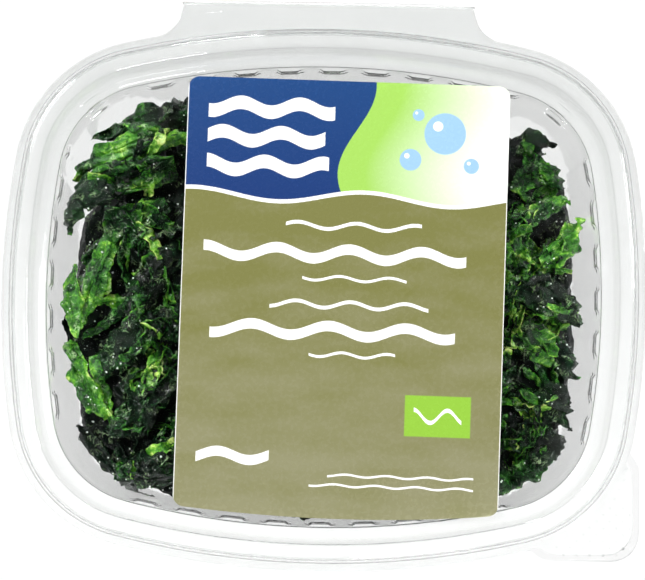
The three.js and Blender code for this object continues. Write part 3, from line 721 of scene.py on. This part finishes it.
px, py = print_split.outputs["X"], print_split.outputs["Y"]


def wave_line(y0, height, length, phase):
    """The height of a wave's middle line over the label."""
    swing = sums("SINE", sums("MULTIPLY_ADD", px, 2 * math.pi / length, phase))
    return sums("MULTIPLY_ADD", swing, height, y0)


def between_x(start, stop):
    return sums("MULTIPLY", step_up(px, start), without(step_up(px, stop)))


def wave_stroke(y0, height, length, phase, thickness, start, stop):
    """A printed wave of even thickness from one x to another."""
    off = sums("ABSOLUTE", sums("SUBTRACT", py, wave_line(y0, height, length, phase)))
    return sums("MULTIPLY", without(step_up(off, thickness / 2)), between_x(start, stop))


def disc(x, y, radius):
    """A printed round spot."""
    dx, dy = sums("SUBTRACT", px, x), sums("SUBTRACT", py, y)
    away = sums("SQRT", sums("ADD", sums("MULTIPLY", dx, dx), sums("MULTIPLY", dy, dy)))
    return without(step_up(away, radius))


def printed_noise(scale, detail, stretches=(1, 1, 1)):
    """The print's mottle, stretched along one way or another."""
    mapping = add_node(print_tree, "ShaderNodeMapping", {"Vector": on_label, "Scale": stretches})
    values = {"Vector": mapping.outputs["Vector"], "Scale": scale, "Detail": detail}
    return add_node(print_tree, "ShaderNodeTexNoise", values).outputs["Fac"]


sand_ripple = printed_noise(0.11, 6.0, (0.6, 1.6, 1))
sand_grain = printed_noise(0.9, 3.0)
down_the_label = sums("MULTIPLY_ADD", py, -1 / 70.0, 0.25)
sand_mix = sums("ADD", down_the_label, sums("MULTIPLY_ADD", sand_ripple, 1.5, -0.75))
sand_mix = sums("ADD", sand_mix, sums("MULTIPLY_ADD", sand_grain, 0.5, -0.25))
ink = over(clamped(sand_mix), INK_OLIVE, INK_SAND)

# Ripples printed in white over the field: height on the label, wave height, wave length,
# phase, thickness, and where each begins and ends
FIELD_STROKES = [
    (15.2, 0.7, 13, 0.3, 0.8, -13, 17),
    (9.0, 1.1, 16, 1.1, 2.3, -31, 27),
    (3.6, 0.5, 11, 2.0, 0.6, -9, 14),
    (-2.2, 0.7, 12, 0.6, 0.8, -16, 19),
    (-8.0, 1.1, 17, 2.6, 2.3, -29, 25),
    (-13.2, 0.5, 10, 1.4, 0.6, -7, 12),
    (-39.6, 0.25, 9, 0.2, 0.45, -2, 30),
    (-41.8, 0.25, 9, 1.9, 0.45, -6, 30),
    (-36.0, 0.9, 14, 0.8, 2.2, -31, -15),
]
for stroke in FIELD_STROKES:
    ink = over(wave_stroke(*stroke), ink, INK_WHITE)
LIME_BLOCK = (14.5, 29.0, -30.5, -21.5)
LIME_BLOCK_WAVE = (-26.0, 1.4, 7.5, 0.4, 0.9, 16.5, 27.0)
lime_block = sums("MULTIPLY", between_x(LIME_BLOCK[0], LIME_BLOCK[1]), step_up(py, LIME_BLOCK[2]))
lime_block = sums("MULTIPLY", lime_block, without(step_up(py, LIME_BLOCK[3])))
ink = over(lime_block, ink, INK_BLOCK_LIME)
ink = over(wave_stroke(*LIME_BLOCK_WAVE), ink, INK_WHITE)

# The heading: its wavy lower edge with a white rule, blue at the left of a curve, lime at its right
HEADING_EDGE = (22.0, 1.3, 38, 0.9)
HEADING_RULE = 0.9
above_edge = sums("SUBTRACT", py, wave_line(*HEADING_EDGE))
side_swing = sums("SINE", sums("MULTIPLY_ADD", py, 0.16, 0.4))
right_of_curve = sums("SUBTRACT", px, sums("MULTIPLY_ADD", side_swing, 4.0, 2.0))
lime_fade = clamped(sums("MULTIPLY_ADD", right_of_curve, 1 / 30.0, -0.2))
blue_fade = clamped(sums("MULTIPLY_ADD", py, 1 / 26.0, -0.85))
blue_ink = over(blue_fade, INK_DEEP_BLUE, INK_BLUE)
heading_ink = over(step_up(right_of_curve, 0.0), blue_ink, over(lime_fade, INK_LIME, INK_WHITE))
HEADING_STROKES = [
    (41.0, 1.0, 13, 0.5, 3.0, -31, -3),
    (34.5, 1.0, 13, 2.4, 3.0, -31, -5),
    (28.0, 1.0, 13, 4.1, 3.0, -31, -4),
]
for stroke in HEADING_STROKES:
    heading_ink = over(wave_stroke(*stroke), heading_ink, INK_WHITE)
# Bubbles: place on the label and radius
BUBBLES = [(21.5, 36.5, 4.6), (14.0, 30.5, 2.4), (27.5, 29.5, 1.7), (15.5, 40.5, 1.3)]
for bx, by, radius in BUBBLES:
    heading_ink = over(disc(bx, by, radius), heading_ink, INK_PALE_BLUE)
    glint = disc(bx - 0.35 * radius, by + 0.35 * radius, 0.24 * radius)
    heading_ink = over(glint, heading_ink, INK_WHITE)
ink = over(step_up(above_edge, -HEADING_RULE), ink, INK_WHITE)
ink = over(step_up(above_edge, 0.0), ink, heading_ink)
# The cut edge is white along the sides
CUT_EDGE = 0.16
ink = over(step_up(sums("ABSOLUTE", px), LABEL_HALF[0] - CUT_EDGE), ink, INK_WHITE)
facing = add_node(print_tree, "ShaderNodeSeparateXYZ", {0: print_place["Normal"]})
ink = over(step_up(facing.outputs["Z"], 0.0), LABEL_BACK, ink)
print_gloss = sums("MULTIPLY_ADD", sand_grain, 0.1, 0.22)
set_inputs(print_shader, {"Base Color": ink, "Roughness": print_gloss, "Specular IOR Level": 0.45})
label_mesh.materials.append(label_print)
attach(label_piece, "lid")
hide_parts("label")


# The sea lettuce is a matted bed of thin, wet, salted blades. This first part is the bed:
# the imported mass, creased all over where folded blades press against each other.
BLADE_STOPS = [
    (0.0, (0.0008, 0.0025, 0.0015, 1)),
    (0.28, (0.0022, 0.0105, 0.0036, 1)),
    (0.5, (0.0075, 0.045, 0.006, 1)),
    (0.7, (0.032, 0.15, 0.009, 1)),
    (0.86, (0.13, 0.31, 0.022, 1)),
    (1.0, (0.44, 0.53, 0.15, 1)),
]
# The colour of the painted highlights along the crests
PAINTED_CREST_GLINT = (0.33, 0.47, 0.23, 1)


def tone_group():
    """The blades' colour and gloss: dark folds, green flats, margins painted lighter and yellower for light
    shining through them, painted highlights as pale specks and crest lines, wet film.
    """
    group = bpy.data.node_groups.new("blade_tones", "ShaderNodeTree")
    for socket in ("Brightness", "Scale"):
        group.interface.new_socket(socket, in_out="INPUT", socket_type="NodeSocketFloat")
    for socket, kind in (("Color", "Color"), ("Roughness", "Float"), ("Height", "Float")):
        group.interface.new_socket(socket, in_out="OUTPUT", socket_type="NodeSocket" + kind)
    source = group.nodes.new("NodeGroupInput")
    result = group.nodes.new("NodeGroupOutput")
    place = add_node(group, "ShaderNodeTexCoord").outputs["Object"]

    def work(operation, *values):
        return math_step(group, operation, *values)

    def pattern(kind, factor, output, **values):
        scale = work("MULTIPLY", source.outputs["Scale"], factor)
        return add_node(group, kind, {"Vector": place, "Scale": scale, **values}).outputs[output]

    def point_value(name):
        node = group.nodes.new("ShaderNodeAttribute")
        node.attribute_name = name
        return node.outputs["Fac"]

    patches = pattern("ShaderNodeTexNoise", 0.22, "Fac", Detail=5.0, Roughness=0.62)
    veins = pattern("ShaderNodeTexNoise", 1.0, "Fac", Detail=4.0, Roughness=0.65, Distortion=1.2)
    cells = pattern("ShaderNodeTexVoronoi", 1.4, "Distance")
    grain = pattern("ShaderNodeTexNoise", 3.1, "Fac", Detail=2.0, Roughness=0.6)
    margin, tone = point_value("margin"), point_value("tone")
    # Painted highlights: pale specks of fine grain stand in for wet glints
    painted_glint_specks = work("MAXIMUM", work("MULTIPLY_ADD", grain, 6.0, -3.75), 0.0)
    painted_glint_specks = work("MULTIPLY", work("MINIMUM", painted_glint_specks, 1.0), patches)
    mix = work("MULTIPLY_ADD", patches, 1.5, -0.75)
    mix = work("ADD", mix, work("MULTIPLY_ADD", veins, 1.0, -0.5))
    mix = work("ADD", mix, work("MULTIPLY", tone, 0.72))
    # Painted light: the blade is made lighter near its margins, for light shining through the thin edges
    mix = work("ADD", mix, work("MULTIPLY", margin, work("MULTIPLY", veins, 0.24)))
    mix = work("MULTIPLY_ADD", painted_glint_specks, 0.42, mix)
    mix = work("ADD", mix, source.outputs["Brightness"])
    # Painted shade: the sea lettuce is made darker towards the front
    split = add_node(group, "ShaderNodeSeparateXYZ", {0: place})
    mix = work("ADD", mix, stretch(group, split.outputs["Y"], -54 * MM, 16 * MM, -0.13, 0.0))
    # Painted highlights: thin pale lines run along the crests here and there
    lines = pattern("ShaderNodeTexNoise", 0.8, "Fac", Detail=3.0, Roughness=0.6, Distortion=0.9)
    crest_glint = work("MULTIPLY_ADD", work("ABSOLUTE", work("SUBTRACT", lines, 0.5)), -26.0, 1.0)
    where = pattern("ShaderNodeTexNoise", 0.55, "Fac", Detail=2.0, Roughness=0.5)
    where = work("MINIMUM", work("MULTIPLY_ADD", where, 9.0, -4.9), 1.0)
    crest_glint = work("MULTIPLY", work("MAXIMUM", crest_glint, 0.0), work("MAXIMUM", where, 0.0))
    crest_glint = work("MULTIPLY", crest_glint, work("MULTIPLY_ADD", tone, 0.5, 0.45))
    ramp = add_node(group, "ShaderNodeValToRGB", {"Fac": mix})
    fill_ramp(ramp, BLADE_STOPS)
    height = work("ADD", work("MULTIPLY", cells, 0.5), veins)
    outputs = {
        "Color": over(crest_glint, ramp.outputs["Color"], PAINTED_CREST_GLINT, tree=group),
        "Roughness": work("MAXIMUM", work("MULTIPLY_ADD", veins, 0.5, -0.04), 0.1),
        "Height": work("MULTIPLY_ADD", grain, 0.35, height),
    }
    set_inputs(result, outputs)
    return group


blade_tones = tone_group()


def blade_material(name, brightness, specular=0.34, coat=0.24):
    """A wet blade's material: the tones, a bump of cells and veins, and a film of water."""
    material, tree, shader = new_material(name)
    tones = tree.nodes.new("ShaderNodeGroup")
    tones.node_tree = blade_tones
    set_inputs(tones, {"Brightness": brightness, "Scale": 620.0})
    wet, bump = tones.outputs, add_node(tree, "ShaderNodeBump", {"Strength": 0.85, "Distance": 0.36 * MM})
    set_inputs(bump, {"Height": wet["Height"]})
    set_inputs(shader, {"Base Color": wet["Color"], "Roughness": wet["Roughness"]})
    set_inputs(shader, {"Normal": bump.outputs["Normal"], "Coat Roughness": 0.08})
    set_inputs(shader, {"Specular IOR Level": specular, "Coat Weight": coat})
    return material


def ridge(point):
    """Sharp creases between smooth hollows, from none to one."""
    return 1 - min(1.0, 2 * abs(noise.noise(point)))


def evaluated_mesh(mesh, levels):
    """The mesh after smooth subdivision."""
    holder = link_piece("holder", mesh)
    divide = holder.modifiers.new("divide", "SUBSURF")
    divide.levels = levels
    divide.render_levels = levels
    graph = bpy.context.evaluated_depsgraph_get()
    result = bpy.data.meshes.new_from_object(holder.evaluated_get(graph))
    bpy.data.objects.remove(holder)
    return result


def set_point_values(mesh, name, values):
    """Stores one number a point on the mesh, for the material to read."""
    attribute = mesh.attributes.get(name) or mesh.attributes.new(name, "FLOAT", "POINT")
    attribute.data.foreach_set("value", values)


BED_CREASE = 0.6
BED_EDGE = 1.3
BED_TONE = 0.05
bed_bm = bmesh.new()
bed_bm.from_mesh(frame["nodes"]["frond_bed"].data)
bmesh.ops.remove_doubles(bed_bm, verts=bed_bm.verts, dist=0.02 * MM)
for _ in range(3):
    long_edges = [e for e in bed_bm.edges if e.calc_length() > BED_EDGE * MM]
    bmesh.ops.subdivide_edges(bed_bm, edges=long_edges, cuts=1, use_grid_fill=True)
bmesh.ops.triangulate(bed_bm, faces=bed_bm.faces)
bed_bm.normal_update()
for vert in bed_bm.verts:
    p = vert.co / MM
    crease = ridge(Vector((p.x * 0.13, p.y * 0.13, p.z * 0.33))) * 1.2 + ridge(p * 0.42) * 0.9
    crease += ridge(p * 0.95) * 0.5 - 1.6
    vert.co += vert.normal * BED_CREASE * crease * MM
bed_mesh = bpy.data.meshes.new("frond_bed_mat")
bed_bm.to_mesh(bed_mesh)
bed_bm.free()
bed_mesh.shade_smooth()
bed_piece = link_piece("frond_bed_mat", bed_mesh)
set_point_values(bed_mesh, "tone", [BED_TONE] * len(bed_mesh.vertices))
set_point_values(bed_mesh, "margin", [0.0] * len(bed_mesh.vertices))
bed_mesh.materials.append(blade_material("bed_blade", -0.08, specular=0.15, coat=0.04))
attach(bed_piece, "tub")
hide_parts("frond_bed")


# Each loose frond is one thin wet blade that lies on the bed, ruffled at its margins and
# creased along its length. It is made from the upper face of its own solid.
BLADE_SHEET = 0.22
MARGIN_RINGS = 7
FROND_SEED = 2203
frond_materials = {
    "left": (blade_material("left_blade", 0.07), "bright_frond"),
    "right": (blade_material("right_blade", 0.1), "bright_frond"),
    "middle": (blade_material("middle_blade", 0.06), "deep_frond"),
}
# How bright each frond is, by its number. Those in the middle are drawn at random.
FROND_TONES = {
    "left": [0.06, 0.25, 0.72, 0.5, 0.3, 0.48, 0.12, 0.78, 0.85, 0.42, 0.8, 0.3, 0.2, 0.3],
    "right": [0.08, 0.52, 0.6, 0.78, 0.34, 0.3, 0.25, 0.2, 0.45],
}
frond_draw = random.Random(FROND_SEED)


def upper_face(node):
    """The upper face of a node's blade as an open mesh of mostly four-sided faces."""
    bm = bmesh.new()
    bm.from_mesh(node.data)
    bmesh.ops.remove_doubles(bm, verts=bm.verts, dist=0.01 * MM)
    bm.normal_update()
    lower = [face for face in bm.faces if face.normal.z < 0.02]
    bmesh.ops.delete(bm, geom=lower, context="FACES")
    bmesh.ops.join_triangles(bm, faces=bm.faces, angle_face_threshold=1.2, angle_shape_threshold=1.2)
    mesh = bpy.data.meshes.new("upper_face")
    bm.to_mesh(mesh)
    bm.free()
    return mesh


def margin_values(mesh):
    """One on the margin of an open mesh, falling to none a few faces in."""
    bm = bmesh.new()
    bm.from_mesh(mesh)
    bm.verts.ensure_lookup_table()
    values = [0.0] * len(bm.verts)
    front = [v for v in bm.verts if v.is_boundary]
    seen = {v.index for v in front}
    for step in range(MARGIN_RINGS):
        following = []
        for v in front:
            values[v.index] = 1 - step / MARGIN_RINGS
            for e in v.link_edges:
                other = e.other_vert(v)
                if other.index not in seen:
                    seen.add(other.index)
                    following.append(other)
        front = following
    bm.free()
    return values


def thin_blade(name, mesh, material, thickness):
    """A piece of sea lettuce of this thickness, shaded smooth."""
    mesh.materials.clear()
    mesh.materials.append(material)
    mesh.shade_smooth()
    piece = link_piece(name, mesh)
    give_thickness(piece, thickness)
    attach(piece, "tub")
    return piece


for frond_name in sorted(n for n in frame["nodes"] if "_frond_" in n):
    node = frame["nodes"][frond_name]
    side = frond_name.split("_")[0]
    mesh = evaluated_mesh(upper_face(node), 2 if side == "middle" else 3)
    low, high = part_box(frond_name)
    middle = (Vector(low) + Vector(high)) / 2
    spread_x = sum((v.co.x - middle.x) ** 2 for v in mesh.vertices)
    spread_y = sum((v.co.y - middle.y) ** 2 for v in mesh.vertices)
    spread_xy = sum((v.co.x - middle.x) * (v.co.y - middle.y) for v in mesh.vertices)
    lie = 0.5 * math.atan2(2 * spread_xy, spread_x - spread_y)
    along = Vector((math.cos(lie), math.sin(lie), 0))
    across = Vector((-math.sin(lie), math.cos(lie), 0))
    margins = margin_values(mesh)
    shift = Vector([frond_draw.uniform(0, 50) for _ in range(3)])
    normals = [v.normal.copy() for v in mesh.vertices]
    for v, normal, edge in zip(mesh.vertices, normals, margins):
        p = v.co / MM
        u, w = p.dot(along), p.dot(across)
        bent = w + 1.6 * noise.noise(Vector((u * 0.12, 0, 2)) + shift)
        folds = ridge(Vector((u * 0.06, bent * 0.36, 0)) + shift)
        pleats = ridge(Vector((u * 0.14, bent * 1.05, 3)) + shift)
        crumple = ridge(p * 0.3 + shift) + 0.4 * ridge(p * 0.9 + shift)
        frill = noise.noise(Vector((u * 0.5, w * 0.2, 5)) + shift)
        rise = 1.5 * (folds - 0.75) + 0.65 * (pleats - 0.7) + 0.5 * (crumple - 0.8)
        rise += 1.1 * frill * edge * edge
        sway = 0.8 * noise.noise(Vector((u * 0.35, w * 0.3, 9)) + shift) * edge
        v.co += (normal * rise + across * sway) * MM
    set_point_values(mesh, "margin", margins)
    frond_number = int(frond_name[-2:])
    tones_of_side = FROND_TONES.get(side)
    frond_tone = tones_of_side[frond_number - 1] if tones_of_side else frond_draw.uniform(0.05, 0.5)
    set_point_values(mesh, "tone", [frond_tone] * len(mesh.vertices))
    material, slot_name = frond_materials[side]
    frond_piece = thin_blade(frond_name + "_blade", mesh, material, BLADE_SHEET)
    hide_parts(frond_name)


# Between and over the fronds lie torn shreds of the same blades: narrow, twisted, with
# frilled margins. They follow the heap under them and stay below the lid's panel.
heap_verts, heap_faces = [], []
for piece in [bed_piece] + [o for o in bpy.data.objects if o.name.endswith("_blade")]:
    base = len(heap_verts)
    heap_verts += [v.co.copy() for v in piece.data.vertices]
    heap_faces += [tuple(base + k for k in face.vertices) for face in piece.data.polygons]
heap = BVHTree.FromPolygons(heap_verts, heap_faces)
LOOK_DOWN_FROM = 60.0
HEAP_FLOOR = 22.0
CEILING = PANEL_Z - SHEET / 2 - 0.35
WALL_KEEP = 8.6
SHRED_SHEET = 0.16
SHRED_STEP = 0.5
SHRED_COLUMNS = 6
SMOOTHING_ROUNDS = 12


def heap_height(x, y):
    """How high the bed and the fronds reach here."""
    hit = heap.ray_cast(Vector((x, y, LOOK_DOWN_FROM)) * MM, Vector((0, 0, -1)))[0]
    return HEAP_FLOOR if hit is None else hit.z / MM


OUTLINE_TABLE = {}


def outline_at(bearing, keep):
    """The place on the outline, moved in by keep, that lies in this direction from the middle."""
    if keep not in OUTLINE_TABLE:
        places = [rim_point(turn, -keep) for turn in TURNS]
        OUTLINE_TABLE[keep] = sorted((math.atan2(y, x), x, y) for x, y in places)
    table = OUTLINE_TABLE[keep]
    found = bisect.bisect_right(table, bearing, key=lambda row: row[0]) - 1
    return table[min(max(found, 0), len(table) - 2)][1:]


def kept_inside(x, y, keep=WALL_KEEP):
    """Moves a place in until it clears the wall."""
    from_middle_y = y - MIDDLE_Y
    far = math.hypot(x, from_middle_y)
    wall = math.hypot(*outline_at(math.atan2(from_middle_y, x), keep))
    if far <= wall:
        return x, y
    return x * wall / far, MIDDLE_Y + from_middle_y * wall / far


def shred(draw, x, y, heading, length, width, lift):
    """One shred over the heap, as rows of points with how near each is to the margin."""
    steps = max(10, round(length / SHRED_STEP))
    line = []
    bend = draw.uniform(-0.9, 0.9) / steps
    for k in range(steps + 1):
        line.append((x, y, heading))
        heading += bend + draw.uniform(-0.09, 0.09)
        x += math.cos(heading) * length / steps
        y += math.sin(heading) * length / steps
    heights = [heap_height(*kept_inside(line_x, line_y)) for line_x, line_y, _ in line]
    for _ in range(SMOOTHING_ROUNDS):
        heights = [
            (heights[max(0, k - 1)] + 2 * h + heights[min(steps, k + 1)]) / 4 for k, h in enumerate(heights)
        ]
    roll = draw.uniform(-1.2, 1.2)
    twist = draw.uniform(-2.4, 2.4)
    cup = draw.uniform(-0.4, 1.3)
    frill_length = draw.uniform(2.2, 4.5)
    phase = draw.uniform(0, 6.3)
    shift = Vector([draw.uniform(0, 40) for _ in range(3)])
    rows = []
    for k, ((cx, cy, turn), base) in enumerate(zip(line, heights)):
        u = k / steps
        s_mm = u * length
        half = width / 2 * (0.22 + 0.78 * math.sin(math.pi * min(0.97, 0.06 + 0.94 * u)) ** 0.6)
        half *= 1 + 0.45 * noise.noise(Vector((s_mm * 0.35, 0, 0)) + shift)
        lean = roll + twist * (u - 0.5) + 0.35 * math.sin(s_mm * 0.7 + phase)
        row = []
        for j in range(SHRED_COLUMNS + 1):
            v = 2 * j / SHRED_COLUMNS - 1
            across = half * v * (1 + 0.25 * noise.noise(Vector((s_mm * 0.9, v, 7)) + shift))
            frill = 0.5 * abs(v) ** 1.5 * math.sin(2 * math.pi * s_mm / frill_length + phase + 2 * v)
            crinkle = 0.6 * (ridge(Vector((s_mm * 0.33, across * 0.45, 0)) + shift) - 0.7)
            crinkle += 0.3 * (ridge(Vector((s_mm * 0.9, across * 0.9, 4)) + shift) - 0.7)
            normal_off = cup * half * (v * v - 0.4) + frill + crinkle
            out = across * math.cos(lean) - normal_off * math.sin(lean)
            up = across * math.sin(lean) + normal_off * math.cos(lean)
            out_x, out_y = kept_inside(cx - math.sin(turn) * out, cy + math.cos(turn) * out)
            z = max(base + lift + up, base - 1.2, HEAP_FLOOR)
            row.append((out_x, out_y, min(z, CEILING - 0.05 * abs(v)), abs(v) ** 3))
        rows.append(row)
    return rows


def shred_piece(name, shreds, material):
    """Many shreds as one piece."""
    verts, faces, margins, tones = [], [], [], []
    for rows, tone in shreds:
        faces += band_faces(len(rows), len(rows[0]), base=len(verts))
        for row in rows:
            for x, y, z, margin in row:
                verts.append((x * MM, y * MM, z * MM))
                margins.append(margin)
                tones.append(tone)
    mesh = new_mesh(name, verts, faces)
    set_point_values(mesh, "margin", margins)
    set_point_values(mesh, "tone", tones)
    return thin_blade(name, mesh, material, SHRED_SHEET)


# Each patch of shreds: its side, lowest and highest place, how many, how far their headings
# spread, lengths, widths, lifts, and how fast the tones fall off to dark
SHRED_PATCHES = [
    ("left", (-46, -52), (-31, 30), 130, 1.5, (4, 12), (1.2, 3.4), (0.1, 1.3), 1.9),
    ("right", (39, -50), (56, 32), 110, 1.6, (4, 13), (1.4, 4.0), (0.1, 1.6), 1.1),
    ("middle", (-32, -50), (40, 40), 60, 3.0, (7, 20), (2.0, 5.0), (0.2, 2.2), 2.0),
]
MAIN_HEADINGS = {"left": math.radians(60), "right": math.radians(40), "middle": 0.6}
SHRED_SEED = 77
# Lone long ribbons: x and y of the start, heading in degrees, length, width, tone
LONG_RIBBONS = [
    (-33, 42, 230, 9, 3.4, 0.15),
    (-38, 36, 175, 17, 3.6, 0.5),
    (-36, 26, 200, 18, 3.0, 0.75),
    (-45, 12, 250, 17, 3.4, 0.4),
    (-40, -2, 215, 18, 3.2, 0.62),
    (-52, -16, 285, 16, 3.0, 0.7),
    (-38, -28, 225, 16, 3.4, 0.35),
    (-46, -40, 300, 12, 3.0, 0.5),
    (44, 20, 300, 16, 2.6, 0.6),
    (46, -6, 285, 17, 2.8, 0.35),
    (47, -28, 265, 14, 2.8, 0.5),
]
RIBBON_LIFT = 1.2
# Nothing is laid where the heap is lower than this, which is off its edge
HEAP_TOP_LOW = 27.0
shred_draw = random.Random(SHRED_SEED)
for side, lowest, highest, count, spread, lengths, widths, lifts, fall in SHRED_PATCHES:
    shreds = []
    for x, y, degrees, length, width, tone in LONG_RIBBONS:
        if side == ("left" if x < 0 else "right"):
            rows = shred(shred_draw, x, y, math.radians(degrees), length, width, RIBBON_LIFT)
            shreds.append((rows, tone))
    while len(shreds) < count:
        x = shred_draw.uniform(lowest[0], highest[0])
        y = shred_draw.uniform(lowest[1], highest[1])
        turned = MAIN_HEADINGS[side] + shred_draw.uniform(-spread, spread)
        heading = turned + math.pi * shred_draw.randint(0, 1)
        length = shred_draw.uniform(*lengths)
        end = (x + length * math.cos(heading), y + length * math.sin(heading))
        if min(heap_height(x, y), heap_height(*end)) < HEAP_TOP_LOW:
            continue
        width, lift = shred_draw.uniform(*widths), shred_draw.uniform(*lifts)
        rows = shred(shred_draw, x, y, heading, length, width, lift)
        shreds.append((rows, shred_draw.random() ** fall))
    material, slot_name = frond_materials[side]
    shred_piece(side + "_shreds", shreds, material)


# Salt lies on the wet blades as small uneven square grains. It is scattered over the heap,
# but not under the lid's back corners, and each grain is turned its own way.
SALT_GRAINS = 1000
SALT_SEED = 5150
SALT_SIDE = 60
SALT_FRONT = -54
SALT_BACK = 46
SALT_CORNER_CUT = 77
SALT_WALL_KEEP = 10.0
SALT_SMALLEST_HALF = 0.05
SALT_EXTRA_HALF = 0.13
SALT_LIFT = 0.25
CUBE_FACES = [(0, 1, 3, 2), (4, 6, 7, 5), (0, 4, 5, 1), (2, 3, 7, 6), (0, 2, 6, 4), (1, 5, 7, 3)]
salt_draw = random.Random(SALT_SEED)
salt_verts, salt_faces = [], []
while len(salt_faces) < len(CUBE_FACES) * SALT_GRAINS:
    x = salt_draw.uniform(-SALT_SIDE, SALT_SIDE)
    y = salt_draw.uniform(SALT_FRONT, SALT_BACK)
    if abs(x) + max(0, y - MIDDLE_Y) > SALT_CORNER_CUT:
        continue
    x, y = kept_inside(x, y, SALT_WALL_KEEP)
    z = heap_height(x, y)
    if z <= HEAP_FLOOR:
        continue
    half = SALT_SMALLEST_HALF + SALT_EXTRA_HALF * salt_draw.random() ** 2
    axis = Vector([salt_draw.uniform(-1, 1) for _ in range(3)]).normalized()
    spin = Quaternion(axis, salt_draw.uniform(0, 3))
    base = len(salt_verts)
    for corner in range(8):
        offset = Vector((corner & 1, (corner >> 1) & 1, (corner >> 2) & 1)) * 2 - Vector((1, 1, 1))
        offset = Vector([part * half * salt_draw.uniform(0.75, 1.1) for part in offset])
        salt_verts.append((Vector((x, y, z + SALT_LIFT)) + spin @ offset) * MM)
    salt_faces += [tuple(base + k for k in reversed(face)) for face in CUBE_FACES]
salt_mesh = new_mesh("salt_grains", salt_verts, salt_faces)
salt_material, salt_tree, salt_shader = new_material("salt")
salt_place = add_node(salt_tree, "ShaderNodeTexCoord").outputs["Object"]
salt_noise = add_node(salt_tree, "ShaderNodeTexNoise", {"Vector": salt_place, "Scale": 4000.0})
salt_white = over(salt_noise.outputs["Fac"], (0.5, 0.56, 0.5, 1), (0.92, 0.95, 0.92, 1), tree=salt_tree)
set_inputs(salt_shader, {"Base Color": salt_white, "Roughness": 0.2})
salt_mesh.materials.append(salt_material)
salt_piece = link_piece("salt_grains", salt_mesh)
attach(salt_piece, "tub")
